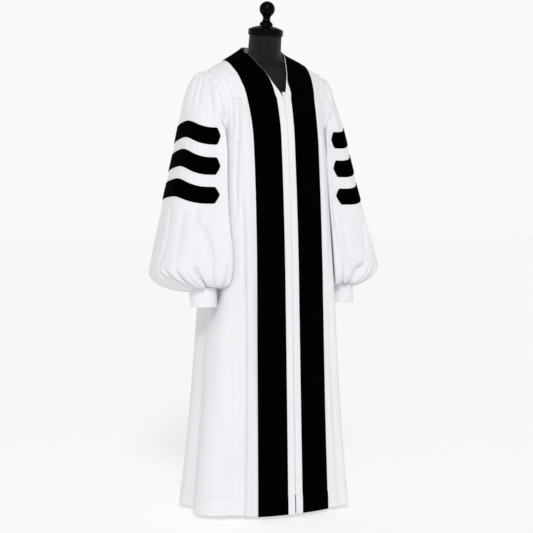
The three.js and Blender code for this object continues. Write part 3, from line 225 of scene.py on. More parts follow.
# Neck edge from the foot of the V to the shoulder and on to the back: height, x, y
NECK_FRONT = np.array([
    (1318, 0.7, -125.4), (1345, 13, -113), (1372, 25, -93), (1400, 36, -74.5), (1438, 52, -36),
    (1467, 64.5, -4), (1478, 70, 19),
])
NECK_BACK = np.array([(1478, 70, 19), (1495, 67, 46), (1501, 42, 69), (1502, 0, 79)])
SHOULDER = np.array([(1478, 70, 19), (1446.5, 139, 24), (1426, 180, 20), (1408, 206, 15)])
BACK_MIDDLE = np.array([(1502, 0, 79), (1436, 0, 97), (1370, 0, 114), (1318, 0, 119)])
STRIP_TOP = 1392
SHOULDER_ARCH = 1.5
# Swell of the yokes in their middle, and its direction
BACK_BULGE, FRONT_BULGE = 11, 4
BACK_SWELL, FRONT_SWELL = np.array([0.35, 0.75, 0.45]), np.array([0, -0.8, 0.6])
BACK_VELVET = (75.9, 60)
RIDGE = {"height": 2.6, "offset": 18, "width": 3}
ARMHOLE_SHARE = 0.5

# Dress form: height, half width, depths to the front and back, middle in depth
TORSO = np.array([
    (690, 60, 50, 50, 5), (692, 146, 96, 98, 5), (725, 157, 106, 112, 5), (810, 161, 108, 116, 5),
    (910, 146, 104, 104, 4), (1010, 133, 101, 92, 2), (1110, 144, 108, 98, 2), (1200, 158, 114, 106, 3),
    (1290, 160, 106, 104, 6), (1350, 166, 88, 94, 10), (1388, 177, 68, 78, 14), (1408, 181, 54, 60, 18),
    (1423, 175, 46, 50, 20), (1433.5, 160, 44, 46, 21), (1442.5, 140, 45, 45, 21), (1449, 115, 46, 46, 20),
    (1456, 80, 46.5, 48, 19), (1466, 60, 50, 50, 17), (1484, 55, 54, 53, 16), (1539, 53, 53, 53, 7),
])
NECK_TOP = {"up": 1539, "y": 7, "tilt": 8.5}
# Profiles of the turned parts, as radius and height, and the ball's radius and middle
CAP_PROFILE = [
    (0.5, 8.6), (54, 8.6), (54.5, -4), (57.5, -4), (57.5, 13), (56, 16), (42, 22), (26, 26.5), (0.5, 27),
]
STEM_PROFILE = [(0.5, 27.3), (21, 27.3), (22, 31), (21, 36), (14, 42), (11.8, 49), (13, 57)]
BALL = (25.5, 81)
BASE_PROFILE = [(0.5, 0), (158, 0), (160, 1.5), (160, 3.5), (154, 6), (60, 8), (0.5, 8)]
POLE_PROFILE = [(0.5, 8.4), (13, 8.4), (13, 701.6), (0.5, 701.6)]


# Soft troughs of the yokes: station and share up at each end, width, depth
YOKE_CREASES = {
    -1: [
        ((6.7, 0.73), (7.5, 0.51), 5, 2.2), ((12.1, 0.51), (9.2, 0.36), 6, 2.6),
        ((9.2, 0.36), (6.5, 0.14), 5, 2.4), ((12.6, 0.22), (11.2, 0.08), 4, 1.4),
    ],
    1: [
        ((7.2, 0.7), (7.8, 0.3), 6, 1.8), ((11.5, 0.6), (9.4, 0.2), 6, 2),
        ((9.6, 0.8), (8.9, 0.55), 5, 1.2),
    ],
}
# Long creases of the back: place and height at the top and at the foot, width, depth
BACK_CREASES = [
    (-0.42, 1240, -0.45, 320, 0.03, -6), (-0.05, 1200, -0.03, 200, 0.028, -5),
    (0.33, 1250, 0.36, 300, 0.03, -6), (-0.7, 900, -0.72, -200, 0.035, -5),
    (0.68, 860, 0.7, -200, 0.035, -5), (0.02, 700, 0.05, -200, 0.03, 5),
    (-0.3, 1180, -0.33, 500, 0.03, 4), (0.22, 1150, 0.25, 420, 0.03, 4),
    (0.5, 1220, 0.47, 700, 0.028, -5), (-0.62, 1230, -0.58, 640, 0.028, 4),
    (-0.16, 900, -0.13, -200, 0.03, -5), (0.42, 760, 0.4, -200, 0.03, 4.5),
]
BACK_SHARE = 1.2

# Zip tape: foot, half width, depth behind the fronts, rows at its top (height, half width, y), teeth
TAPE = {
    "low": 60, "half": 11.8, "behind": 2.3,
    "top": [(1318, 8, -121.6), (1324, 6, -118.6), (1327, 4.6, -116.9)],
    "tooth": (1.9, 1.3, 0.5, 0.55),
}
# Stitch: pitch, length, half width, half height
STITCH = (3.2, 2.5, 0.28, 0.22)
DIAMOND = [(0, 3, 2), (0, 4, 3), (0, 5, 4), (0, 2, 5), (1, 2, 3), (1, 3, 4), (1, 4, 5), (1, 5, 2)]
# Places of the stitches on a cuff
CUFF_SEWN = (0.08, 0.93)

# Spacing times scale of a wave texture's bands
WAVE_METRE = 0.314

# Light, floor and camera
DOME = 0.4
LIT_POINT = (0, 0, 1.1)
LAMPS = [
    ("top", "AREA", (-1.3, -1.9, 3.0), {"shape": "DISK", "size": 1.2, "energy": 7}),
    ("glint", "AREA", (-1.2, -2.6, 3.6), {"shape": "DISK", "size": 0.16, "energy": 2.5}),
    ("key", "SUN", (-1.0, -2.6, 3.2), {"angle": math.radians(13), "energy": 1.2}),
]
FLOOR_GLOW = 0.60
FLOOR_HALF = 60
CAMERA = {"place": (-1.6952, -3.4422, 0.9433), "turn": 26.22, "down": 2.31, "lens": 78.5}


def even(start, end, count):
    return np.linspace(start, end, count)


def smooth(t):
    s = np.clip(t, 0, 1)
    return s * s * (3 - 2 * s)


def bump(distance, width):
    return np.exp(-((distance / width) ** 2))


def fold(distance, width):
    """A soft trough or ridge with a tighter middle, plainer where it is wide."""
    tight = 0.1 + 0.38 * min(max((14 - width) / 6, 0), 1)
    return (1 - tight) * bump(distance, width) + tight * bump(distance, 0.35 * width)


def mix(a, b, t):
    return a + (b - a) * t


def read_table(table, at):
    """The table's columns at a key, along a cubic through its rows."""
    keys, values = table[:, 0], table[:, 1:]
    slopes = np.empty_like(values)
    slopes[1:-1] = (values[2:] - values[:-2]) / (keys[2:] - keys[:-2])[:, None]
    slopes[0] = (values[1] - values[0]) / (keys[1] - keys[0])
    slopes[-1] = (values[-1] - values[-2]) / (keys[-1] - keys[-2])
    at = np.clip(np.asarray(at, float), keys[0], keys[-1])
    i = np.clip(np.searchsorted(keys, at, side="right") - 1, 0, len(keys) - 2)
    span = keys[i + 1] - keys[i]
    t = (at - keys[i]) / span
    columns = []
    for k in range(values.shape[1]):
        a, b = values[i, k], values[i + 1, k]
        columns.append(a * (2 * t**3 - 3 * t**2 + 1) + slopes[i, k] * span * (t**3 - 2 * t**2 + t)
                       + b * (3 * t**2 - 2 * t**3) + slopes[i + 1, k] * span * (t**3 - t**2))
    return columns


def numbered(table):
    """The table keyed by its rows' numbers."""
    return np.column_stack([np.arange(len(table)), table])


def spots(x, y, up):
    x, y, up = np.broadcast_arrays(x, y, up)
    return np.stack([x, y, up + HEM_UP], axis=-1)


# The body

def armhole_point(angle):
    depth = np.where(np.sin(angle) > 0, ARMHOLE["front"], ARMHOLE["back"])
    x = ARMHOLE["x"] + ARMHOLE["lean"] * np.cos(angle) - ARMHOLE["bow"] * np.sin(angle) ** 2
    return x, ARMHOLE["y"] - depth * np.sin(angle), ARMHOLE["up"] + ARMHOLE["reach"] * np.cos(angle)


def armhole_angle(up):
    return np.arccos(np.clip((up - ARMHOLE["up"]) / ARMHOLE["reach"], -1, 1))


def side_point(up, is_front):
    angle = np.where(up > UNDERARM_UP, armhole_angle(up), math.pi)
    x, y, _ = armhole_point(angle if is_front else -angle)
    return x, y


def side_turn(up, is_front):
    x, y = side_point(up, is_front)
    return np.arctan2(x, -y)


def plain_radius(turn, up):
    half, front, back, square = read_table(BODY_SECTIONS, up)
    depth = np.where(np.cos(turn) > 0, front, back)
    total = np.abs(np.sin(turn) / half) ** square + np.abs(np.cos(turn) / depth) ** square
    return total ** (-1 / square)


def turn_at(x, up):
    """The turn at which the plain front stands a distance x from the middle."""
    half, front, _, square = read_table(BODY_SECTIONS, up)
    return np.arctan2(x, front * (1 - (x / half) ** square) ** (1 / square))


def flute_depth(flutes, across, up):
    total = 0
    for at, width, depth, top in flutes:
        total = total + depth * np.clip(1 - up / top, 0, 1) ** 1.2 * bump(across - at, width)
    return total


def gather_depth(gathers, across, up):
    below = YOKE_SEAM_UP - up
    total = 0
    for at, width, depth, length in gathers:
        total = total - depth * smooth(below / 9) * np.exp(-below / length) * fold(across - at, width)
    return total


def crease_depth(creases, across, up):
    total = 0
    for at_top, top, at_low, low, width, depth in creases:
        t = (top - up) / (top - low)
        grow = smooth(t * 3) * smooth((1 - t) * 3)
        total = total + depth * grow * fold(across - mix(at_top, at_low, t), width)
    return total


def front_fold_depth(side, turn, up, radius):
    """Folds drawn on a front panel as lines from their top down."""
    total = 0
    for line, width, depth in FRONT_FOLDS[side]:
        heights, places = np.array(line, float)[::-1].T
        half = read_table(BODY_SECTIONS, up)[0]
        away = radius * (turn - turn_at(np.minimum(np.interp(up, heights, places), 0.98 * half), up))
        t = (heights[-1] - up) / (heights[-1] - heights[0])
        start = smooth((YOKE_SEAM_UP - up) / 9) if heights[-1] == YOKE_SEAM_UP else smooth(4 * t)
        end = smooth(2.5 * (1 - t)) if heights[0] > 0 else 1
        total = total + depth * start * end * fold(away, width)
    return total


def side_shift(up, is_front):
    x, y = side_point(up, is_front)
    fade = smooth((up - 1040) / (UNDERARM_UP - 1040))
    return (np.hypot(x, y) - plain_radius(side_turn(up, is_front), up)) * fade


def hem_relief(up):
    """The hem's folded layer stands out a little below its line of stitches."""
    folded = HEM["fold"] * smooth((HEM["up"] + 1 - up) / 3)
    return folded - HEM["groove"] * bump(up - HEM["up"] - 1, 1.5)


def strip_relief(side, station, up):
    share = np.clip(station, 0, 1)
    level = STRIP["over"] if side < 0 else STRIP["under"]
    relief = level * smooth((1 - share) * 9)
    if side > 0:
        for at in STRIP["tucks"]:
            relief = relief - STRIP["tuck_depth"] * bump(share - at, STRIP["tuck_width"])
    return np.where(station < 1, relief, 0) * smooth((YOKE_SEAM_UP - 4 - up) / 20)


def front_radius(side, across, turn, up):
    cloth = np.maximum(across, 0)
    radius = plain_radius(turn, up) + side_shift(up, True) * cloth**3 + hem_relief(up)
    drawn = front_fold_depth(side, turn, up, radius) * smooth((1 - cloth) / 0.12)
    relief = flute_depth(FRONT_FLUTES[side], cloth, up) + drawn
    still = np.where(across < 0, 0, smooth(across / 0.04 + 0.2))
    dent = CUFF_DENT["depth"] * bump(cloth - CUFF_DENT["at"], CUFF_DENT["width"])
    return radius + still * relief - dent * bump(up - CUFF_DENT["up"], CUFF_DENT["reach"])


def around(side, radius, turn, up):
    return spots(side * radius * np.sin(turn), -radius * np.cos(turn), up)


def front_station(side, station, up):
    """A point of a front panel by station: 0 its edge, 1 to 5 under the velvet, then the gathered cloth."""
    edge, inner, outer = read_table(FRONT_STATIONS, up)
    under = mix(inner, outer, (station - 1) / (VELVET_STATION - 1))
    x = np.where(station < 1, mix(edge, inner, station), under)
    start = turn_at(outer, up)
    across = (station - VELVET_STATION) / (LAST_STATION - VELVET_STATION)
    turn = np.where(station <= VELVET_STATION, turn_at(np.minimum(x, outer), up),
                    mix(start, side_turn(up, True), across))
    across = np.where(station <= VELVET_STATION, -1, across)
    radius = front_radius(side, across, turn, up) + strip_relief(side, station, up)
    return around(side, radius, turn, up)


def back_gathers():
    """The back's gathers under its yoke, then finer ones: place, width, depth, length."""
    rows = []
    for i in range(BACK_GATHERS):
        at = -0.9 + 1.8 * i / (BACK_GATHERS - 1)
        rows.append((at + 0.018 * math.sin(5.1 * i), 0.045, 6, 110 + 90 * abs(math.sin(2.3 * i + 0.4))))
    for i in range(2 * BACK_GATHERS):
        at = -0.93 + 1.86 * i / (2 * BACK_GATHERS - 1)
        rows.append((at + 0.012 * math.sin(3.3 * i), 0.016, 1.8 + 0.8 * math.sin(2.1 * i), 60))
    return rows


BACK_GATHER_ROWS = back_gathers()


def side_flute(across, up):
    """The flute at each side seam runs on from the front panel into the back."""
    total = 0
    for side in (-1, 1):
        _, width, depth, top = FRONT_FLUTES[side][-1]
        grow = np.clip(1 - up / top, 0, 1) ** 1.2
        here = np.where(across * side > 0, 1, 0)
        total = total + here * depth * grow * bump((1.03 - np.abs(across)) * BACK_SHARE, width)
    return total


def back_radius(across, up):
    turn = math.pi + across * (side_turn(up, False) - math.pi)
    radius = plain_radius(turn, up) + side_shift(up, False) * np.abs(across) ** 3 + hem_relief(up)
    radius = radius + side_flute(across, up) + flute_depth(BACK_FLUTES, across, up)
    radius = radius + gather_depth(BACK_GATHER_ROWS, across, up)
    beyond_seam = (1 - np.abs(across)) * BACK_SHARE + 1 - CUFF_DENT["at"]
    dent = CUFF_DENT["depth"] * bump(beyond_seam, CUFF_DENT["width"])
    radius = radius - dent * bump(up - CUFF_DENT["up"], CUFF_DENT["reach"])
    return radius + crease_depth(BACK_CREASES, across, up), turn


def back_point(across, up):
    radius, turn = back_radius(across, up)
    return around(1, radius, turn, up)


def body_radius(side, turn, up):
    """Distance of the body's cloth from its middle line, big folds included."""
    seam = side_turn(up, True)
    _, _, outer = read_table(FRONT_STATIONS, up)
    start = turn_at(outer, up)
    front = front_radius(side, (turn - start) / (seam - start), turn, up)
    across = np.clip(side * (math.pi - turn) / (math.pi - seam), -1, 1)
    back, _ = back_radius(across, up)
    return np.where(up > UNDERARM_UP, plain_radius(turn, up), np.where(turn < seam, front, back))


# The sleeves

def turn_apart(a, b):
    return np.abs((a - b + 540) % 360 - 180)


def cuff_gathers():
    rows = []
    for i in range(CUFF_GATHERS):
        at = 360 * i / CUFF_GATHERS + 4 * math.sin(3.7 * i)
        rows.append((at, 6, 7 * (0.7 + 0.3 * math.sin(2.1 * i + 1))))
        rows.append((at + 10, 3, 2.2 + 0.8 * math.sin(1.7 * i)))
    return rows


def sleeve_fold_depth(side, spot):
    """Folds drawn on a sleeve as lines, by how near a point of the plain form lies to each."""
    flat = spot.reshape(-1, 3)
    total = np.zeros(len(flat))
    for line, width, depth in SLEEVE_FOLDS[side] + BACK_SLEEVE_FOLDS:
        rows = numbered(np.array(line, float))
        route, _ = sleeve_form(*read_table(rows, even(0, len(line) - 1, FOLD_STEPS)))
        reach = FOLD_REACH * width
        near = np.all((flat > route.min(0) - reach) & (flat < route.max(0) + reach), axis=1)
        here = flat[near]
        nearest, share = np.full(len(here), 1e9), np.zeros(len(here))
        for i, (start, end) in enumerate(zip(route[:-1], route[1:])):
            step = end - start
            t = np.clip((here - start) @ step / (step @ step), 0, 1)
            away = np.linalg.norm(here - start - t[:, None] * step, axis=1)
            share = np.where(away < nearest, (i + t) / (FOLD_STEPS - 1), share)
            nearest = np.minimum(nearest, away)
        total[near] += depth * smooth(share * 7 + 0.1) * smooth((1 - share) * 2.4) * fold(nearest, width)
    return total.reshape(spot.shape[:-1])


def lip_fold_depth(side, place, angle):
    total = 0
    for above, at_lip, width, depth in LIP_FOLDS[side] + BACK_LIP_FOLDS:
        at = mix(above, at_lip, np.clip((place - 12) / 3, 0, 1))
        total = total + depth * fold(turn_apart(angle, at), width)
    return total * smooth((place - 12.6) / 2) * smooth((LAST_RING - place) / 1.5)


def sleeve_form(place, angle):
    """The plain form of a left sleeve and its outward directions, by ring number and degrees."""
    place, angle = np.broadcast_arrays(place, angle)
    (out_x, out_up, in_x, in_up, front_up, back_up, mid_y, front, back, bow, crest, square, corner,
     lobe) = read_table(SLEEVE_TABLE, place)
    turn = np.radians(angle)
    is_corner = (np.cos(turn) < 0) & (np.sin(turn) > 0)
    power = 2 / np.where(is_corner, corner, square)
    cos = np.sign(np.cos(turn)) * np.abs(np.cos(turn)) ** power
    sin = np.sign(np.sin(turn)) * np.abs(np.sin(turn)) ** power
    mid = np.stack([(out_x + in_x) / 2, mid_y, (out_up + in_up) / 2 + HEM_UP], axis=-1)
    level = np.where(np.sin(turn) > 0, front_up, back_up)
    settled = smooth(place / 4)
    outward = mix(level, out_up, np.abs(np.cos(turn)) ** mix(1, 1.6, settled))
    inward = mix(level, in_up, np.abs(np.cos(turn)) ** mix(1, 3, settled))
    height = np.where(np.cos(turn) > 0, outward, inward)
    height = height + crest * bump(turn_apart(angle, CREST_AT), CREST_WIDTH)
    spot = np.stack([
        mid[..., 0] + (out_x - in_x) / 2 * cos - bow * np.sin(turn) ** 2,
        mid[..., 1] - np.where(sin > 0, front, back) * sin,
        height + HEM_UP,
    ], axis=-1)
    away = spot - mid
    away /= np.linalg.norm(away, axis=-1, keepdims=True)
    return spot + away * (lobe * bump(turn_apart(angle, LOBE_AT), LOBE_WIDTH))[..., None], away


def sleeve_point(side, place, angle):
    """A point of the sleeve: place counts rings from the armhole, angle in degrees from the outer line."""
    place, angle = np.broadcast_arrays(np.asarray(place, float), np.asarray(angle, float))
    spot, away = sleeve_form(place, angle)
    left = LAST_RING - place
    lip = lip_fold_depth(side, place, angle)
    push = -smooth((left - 0.5) / 2) * sleeve_fold_depth(side, spot) - lip
    full = CAP_FULLNESS[side] * bump(place - CAP["place"], CAP["reach"]) * smooth(place)
    push = push + full * bump(turn_apart(angle, CAP["angle"]), CAP["width"])
    gathered = smooth((left - 0.5) / 2) * (1 - smooth((left - 1.5) / 4))
    for at, width, depth in cuff_gathers():
        push = push - gathered * depth * fold(turn_apart(angle, at), width)
    spot = spot + away * push[..., None]
    spot[..., 2] += LIP_RISE * lip
    return keep_off_body(side, spot, place)


def keep_off_body(side, spot, place):
    up = spot[..., 2] - HEM_UP
    turn = np.arctan2(spot[..., 0], -spot[..., 1])
    limit = body_radius(side, turn, up) + SLEEVE_BODY_GAP
    reach = np.hypot(spot[..., 0], spot[..., 1]) / limit
    soft = (reach**30 + 1) ** (1 / 30)
    grow = smooth((place - 3) / 2) * smooth((LAST_RING - place) / 1.5)
    scale = mix(1, soft / reach, grow)
    return spot * np.stack([side * scale, scale, np.ones_like(scale)], axis=-1)


# The yokes

def along(table):
    rows = numbered(table)

    def at(share):
        up, x, y = read_table(rows, np.asarray(share) * (len(table) - 1))
        return spots(x, y, up)
    return at


neck_front_at = along(NECK_FRONT)
neck_back_at = along(NECK_BACK)
back_middle_at = along(BACK_MIDDLE)
shoulder_outer_at = along(SHOULDER[1:])


def shoulder_at(station):
    """The shoulder line by station number."""
    share = np.clip(station / VELVET_STATION, 0, 1)
    (up_a, x_a, y_a), (up_b, x_b, y_b) = SHOULDER[0], SHOULDER[1]
    arch = SHOULDER_ARCH * np.sin(np.pi * share)
    near = spots(mix(x_a, x_b, share), mix(y_a, y_b, share), mix(up_a, up_b, share) + arch)
    far = shoulder_outer_at(np.clip((station - VELVET_STATION) / (LAST_STATION - VELVET_STATION), 0, 1))
    return np.where((station <= VELVET_STATION)[..., None], near, far)


def shoulder_by_share(share):
    whole = SHOULDER[3, 1] - SHOULDER[0, 1]
    split = (SHOULDER[1, 1] - SHOULDER[0, 1]) / whole
    outer = VELVET_STATION + (LAST_STATION - VELVET_STATION) * (share - split) / (1 - split)
    return shoulder_at(np.where(share <= split, share / split * VELVET_STATION, outer))


def coons(inner, outer, start, end, corners, u, t):
    """A patch between four border lines; corners are the ends of the inner and outer lines."""
    u, t = u[..., None], t[..., None]
    spot = inner * (1 - u) + outer * u + start * (1 - t) + end * t
    in_low, in_top, out_low, out_top = corners
    return (spot - in_low * (1 - u) * (1 - t) - in_top * (1 - u) * t
            - out_low * u * (1 - t) - out_top * u * t)


def front_yoke_point(station, t):
    """A point of the left front yoke: station across, t from the yoke seam (0) to the shoulder (1)."""
    station, t = np.broadcast_arrays(np.asarray(station, float), np.asarray(t, float))
    top = armhole_angle(YOKE_SEAM_UP)
    seam_up = np.full(station.shape, float(YOKE_SEAM_UP))
    seam = front_station(1, station, seam_up)
    edge = front_station(1, np.zeros_like(station), seam_up)
    side = front_station(1, np.full_like(station, LAST_STATION), seam_up)
    outer = spots(*armhole_point(mix(top, 0, t)))
    inner = neck_front_at(t)
    end = shoulder_at(station)
    whole = SHOULDER[3, 1] - SHOULDER[0, 1]
    u = np.clip((seam[..., 0] / side[..., 0] + (end[..., 0] - SHOULDER[0, 1]) / whole) / 2, 0, 1)
    corners = (edge, neck_front_at(np.ones_like(t)), side, spots(*armhole_point(np.zeros_like(t))))
    spot = coons(inner, outer, seam, end, corners, u, t)
    swell = FRONT_BULGE * np.sin(np.pi * t) * np.sin(np.pi * u)
    return spot + swell[..., None] * FRONT_SWELL


def strip_station(t):
    """Station of the velvet's inner edge on the yoke: it draws in to the neck edge."""
    up = neck_front_at(t)[..., 2] - HEM_UP
    return mix(1, 0.09, smooth((up - YOKE_SEAM_UP) / (STRIP_TOP - YOKE_SEAM_UP)))


def back_yoke_outer(t):
    low = armhole_angle(YOKE_SEAM_UP)
    at_hole = spots(*armhole_point(-low * np.clip(t / ARMHOLE_SHARE, 0, 1)))
    across = np.clip(1 - (t - ARMHOLE_SHARE) / (1 - ARMHOLE_SHARE), 0, 1)
    at_seam = back_point(across, np.full(np.shape(t), float(YOKE_SEAM_UP)))
    return np.where((t < ARMHOLE_SHARE)[..., None], at_hole, at_seam)


def back_yoke_point(u, t):
    """The left half of the back yoke: u out from the neck, t from the shoulder to the middle."""
    u, t = np.broadcast_arrays(np.asarray(u, float), np.asarray(t, float))
    zero, one = np.zeros_like(t), np.ones_like(t)
    corners = (neck_back_at(zero), neck_back_at(one), back_yoke_outer(zero), back_yoke_outer(one))
    inner, outer = neck_back_at(t), back_yoke_outer(t)
    spot = coons(inner, outer, shoulder_by_share(u), back_middle_at(u), corners, u, t)
    swell = BACK_BULGE * np.sin(np.pi * t) * np.sin(np.pi * u)
    return spot + swell[..., None] * BACK_SWELL


# Meshes

def normals_of(grid, closed=False):
    if closed:
        across = np.roll(grid, -1, axis=1) - np.roll(grid, 1, axis=1)
    else:
        across = np.gradient(grid, axis=1)
    along_rows = np.gradient(grid, axis=0)
    normal = np.cross(across, along_rows)
    length = np.linalg.norm(normal, axis=-1, keepdims=True)
    return normal / np.maximum(length, 1e-9)


def trimmed(grid, closed=False, gap=SEAM_GAP):
    """The grid with its borders pulled in a little, so that seams keep a gap."""
    out = grid.copy()

    def pull(target, towards):
        step = towards - target
        return target + step * (gap / np.maximum(np.linalg.norm(step, axis=-1, keepdims=True), 1e-6))
    out[0], out[-1] = pull(out[0], grid[2]), pull(out[-1], grid[-3])
    if not closed:
        out[:, 0], out[:, -1] = pull(out[:, 0], grid[:, 2]), pull(out[:, -1], grid[:, -3])
    return out


def facing(grid, side):
    return grid[:, ::-1] if side < 0 else grid


def mirrored(grid):
    return grid * np.array([-1, 1, 1])


def wall(name, grid, material, node, thickness=CLOTH_WALL, lift=0, closed=False, body=BODY):
    """A closed thin wall over a grid in millimetres, its outer skin raised by lift, in metres."""
    rows, columns = grid.shape[:2]
    normal = normals_of(grid, closed)
    top = lift[..., None] if isinstance(lift, np.ndarray) else lift
    outer = grid + normal * top
    inner = grid + normal * (np.minimum(top, VELVET_LIFT) - (0 if np.any(np.asarray(lift)) else thickness))
    points = np.concatenate([outer.reshape(-1, 3), inner.reshape(-1, 3)]) * MM
    index = point_numbers(rows, columns, closed)
    count = rows * columns
    outside = quads(index)
    inside = outside[:, [0, 3, 2, 1]] + count
    rims = [rim(index[0], count, True), rim(index[-1], count, False)]
    if not closed:
        rims += [rim(index[:, 0], count, False), rim(index[:, -1], count, True)]
    faces = np.concatenate([outside, inside, *rims])
    steps = np.linalg.norm(np.diff(grid, axis=1), axis=-1)
    u = np.concatenate([np.zeros((rows, 1)), np.cumsum(steps, axis=1)], axis=1) * MM
    rise = np.linalg.norm(np.diff(grid, axis=0), axis=-1)
    v = np.concatenate([np.zeros((1, columns)), np.cumsum(rise, axis=0)], axis=0) * MM
    uv = np.stack([np.broadcast_to(u.mean(0), u.shape), np.broadcast_to(v.mean(1)[:, None], v.shape)], -1)
    uv = np.concatenate([uv.reshape(-1, 2)] * 2)
    piece = mesh_object(name, points, faces, uv, material)
    if node:
        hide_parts(*([node] if isinstance(node, str) else node))
    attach(piece, body)
    return piece


def point_numbers(rows, columns, closed):
    index = np.arange(rows * columns).reshape(rows, columns)
    return np.concatenate([index, index[:, :1]], axis=1) if closed else index


def quads(index):
    """Faces between neighbouring rows and columns of point numbers."""
    return np.stack([index[:-1, :-1], index[:-1, 1:], index[1:, 1:], index[1:, :-1]], -1).reshape(-1, 4)


def rim(line, count, forward):
    a, b = line[:-1], line[1:]
    if forward:
        return np.stack([b, a, a + count, b + count], -1)
    return np.stack([a, b, b + count, a + count], -1)


def mesh_object(name, points, faces, uv, material, sharp=50):
    mesh = bpy.data.meshes.new(name)
    mesh.vertices.add(len(points))
    mesh.vertices.foreach_set("co", np.asarray(points, np.float32).ravel())
    size = faces.shape[1]
    mesh.loops.add(faces.size)
    mesh.loops.foreach_set("vertex_index", faces.astype(np.int32).ravel())
    mesh.polygons.add(len(faces))
    mesh.polygons.foreach_set("loop_start", np.arange(0, faces.size, size, dtype=np.int32))
    mesh.polygons.foreach_set("use_smooth", np.ones(len(faces), bool))
    if uv is not None:
        layer = mesh.uv_layers.new(name="cloth")
        layer.data.foreach_set("uv", np.asarray(uv, np.float32)[faces.ravel()].ravel())
    mesh.update(calc_edges=True)
    mesh.validate()
    mesh.set_sharp_from_angle(angle=math.radians(sharp))
    mesh.materials.append(material)
    piece = bpy.data.objects.new(name, mesh)
    bpy.context.scene.collection.objects.link(piece)
    return piece


# Materials

class Nodes:
    """A material's node tree with short ways to add and join nodes."""

    def __init__(self, name):
        self.material = bpy.data.materials.new(name)
        self.material.use_nodes = True
        self.tree = self.material.node_tree
        self.shader = self.tree.nodes["Principled BSDF"]
        coordinates = self.add("ShaderNodeTexCoord")
        self.flat, self.space = coordinates.outputs["UV"], coordinates.outputs["Object"]

    def add(self, kind, **values):
        node = self.tree.nodes.new(kind)
        for key, value in values.items():
            if key in node.inputs:
                node.inputs[key].default_value = value
            else:
                setattr(node, key, value)
        return node

    def join(self, source, target):
        self.tree.links.new(source, target)

    def finish(self, **values):
        for key, value in values.items():
            self.shader.inputs[key.replace("_", " ")].default_value = value
        return self.material

    def noise(self, scale, detail=3, roughness=0.5, vector=None, upright=None):
        """Noise over the object, drawn out in height where upright is given."""
        vector = vector or self.space
        if upright:
            mapping = self.add("ShaderNodeMapping", Scale=(1, 1, upright))
            self.join(vector, mapping.inputs["Vector"])
            vector = mapping.outputs["Vector"]
        node = self.add("ShaderNodeTexNoise", Scale=scale, Detail=detail, Roughness=roughness)
        self.join(vector, node.inputs["Vector"])
        return node.outputs["Fac"]

    def wave(self, vector, scale, direction):
        node = self.add("ShaderNodeTexWave", wave_type="BANDS", bands_direction=direction, Scale=scale)
        self.join(vector, node.inputs["Vector"])
        return node.outputs["Fac"]

    def weave(self, across, along):
        """Threads both ways, by their spacing in metres."""
        node = self.add("ShaderNodeMath", operation="MULTIPLY")
        self.join(self.wave(self.flat, WAVE_METRE / across, "X"), node.inputs[0])
        self.join(self.wave(self.flat, WAVE_METRE / along, "Y"), node.inputs[1])
        return node.outputs[0]

    def tone(self, factor, low, high, dark, light):
        """The base colour runs from dark to light over a span of the factor."""
        ramp = self.add("ShaderNodeValToRGB")
        for element, place, colour in zip(ramp.color_ramp.elements, (low, high), (dark, light)):
            element.position = place
            element.color = (*colour, 1)
        self.join(factor, ramp.inputs["Fac"])
        self.join(ramp.outputs["Color"], self.shader.inputs["Base Color"])

    def bumps(self, *layers):
        """Bump layers of (height, strength, distance), one on another."""
        normal = None
        for height, strength, distance in layers:
            node = self.add("ShaderNodeBump", Strength=strength, Distance=distance)
            self.join(height, node.inputs["Height"])
            if normal is not None:
                self.join(normal, node.inputs["Normal"])
            normal = node.outputs["Normal"]
        self.join(normal, self.shader.inputs["Normal"])


def white_cloth():
    nodes = Nodes("white_cloth")
    drape = nodes.noise(16, 2, 0.45, upright=0.22)
    rumple = nodes.noise(46, upright=0.6)
    weave = nodes.weave(0.0007, 0.0007)
    nodes.bumps((drape, 0.35, 0.004), (rumple, 0.22, 0.0012), (weave, 0.12, 0.0002))
    nodes.tone(drape, 0.3, 0.7, (0.755, 0.75, 0.785), (0.785, 0.78, 0.815))
    return nodes.finish(Roughness=0.78, Sheen_Weight=0.12, Sheen_Roughness=0.4, Specular_IOR_Level=0.25)


def black_velvet():
    nodes = Nodes("black_velvet")
    pile = nodes.noise(2600, 2, 0.6, vector=nodes.flat)
    nap = nodes.noise(22, 3, 0.55, upright=0.4)
    nodes.bumps((nap, 0.2, 0.001), (pile, 0.5, 0.0003))
    nodes.tone(nap, 0.35, 0.7, (0.0002, 0.0002, 0.0003), (0.0006, 0.0006, 0.0007))
    return nodes.finish(Roughness=0.95, Sheen_Weight=0.008, Sheen_Roughness=0.35, Specular_IOR_Level=0.01)


def form_fabric():
    nodes = Nodes("form_fabric")
    mottle = nodes.noise(60, 3, 0.6)
    nodes.bumps((mottle, 0.15, 0.0006), (nodes.weave(0.0012, 0.0014), 0.3, 0.0003))
    nodes.tone(mottle, 0.3, 0.75, (0.004, 0.004, 0.0045), (0.007, 0.007, 0.0076))
    return nodes.finish(Roughness=0.85, Sheen_Weight=0.15, Sheen_Roughness=0.5, Specular_IOR_Level=0.2)


def black_gloss():
    nodes = Nodes("black_gloss")
    grain = nodes.noise(120)
    nodes.bumps((grain, 0.04, 0.0004))
    rough = nodes.add("ShaderNodeMapRange")
    rough.inputs["To Min"].default_value = 0.16
    rough.inputs["To Max"].default_value = 0.24
    nodes.join(grain, rough.inputs["Value"])
    nodes.join(rough.outputs["Result"], nodes.shader.inputs["Roughness"])
    return nodes.finish(Base_Color=(0.0008, 0.0008, 0.0009, 1), Specular_IOR_Level=0.05)


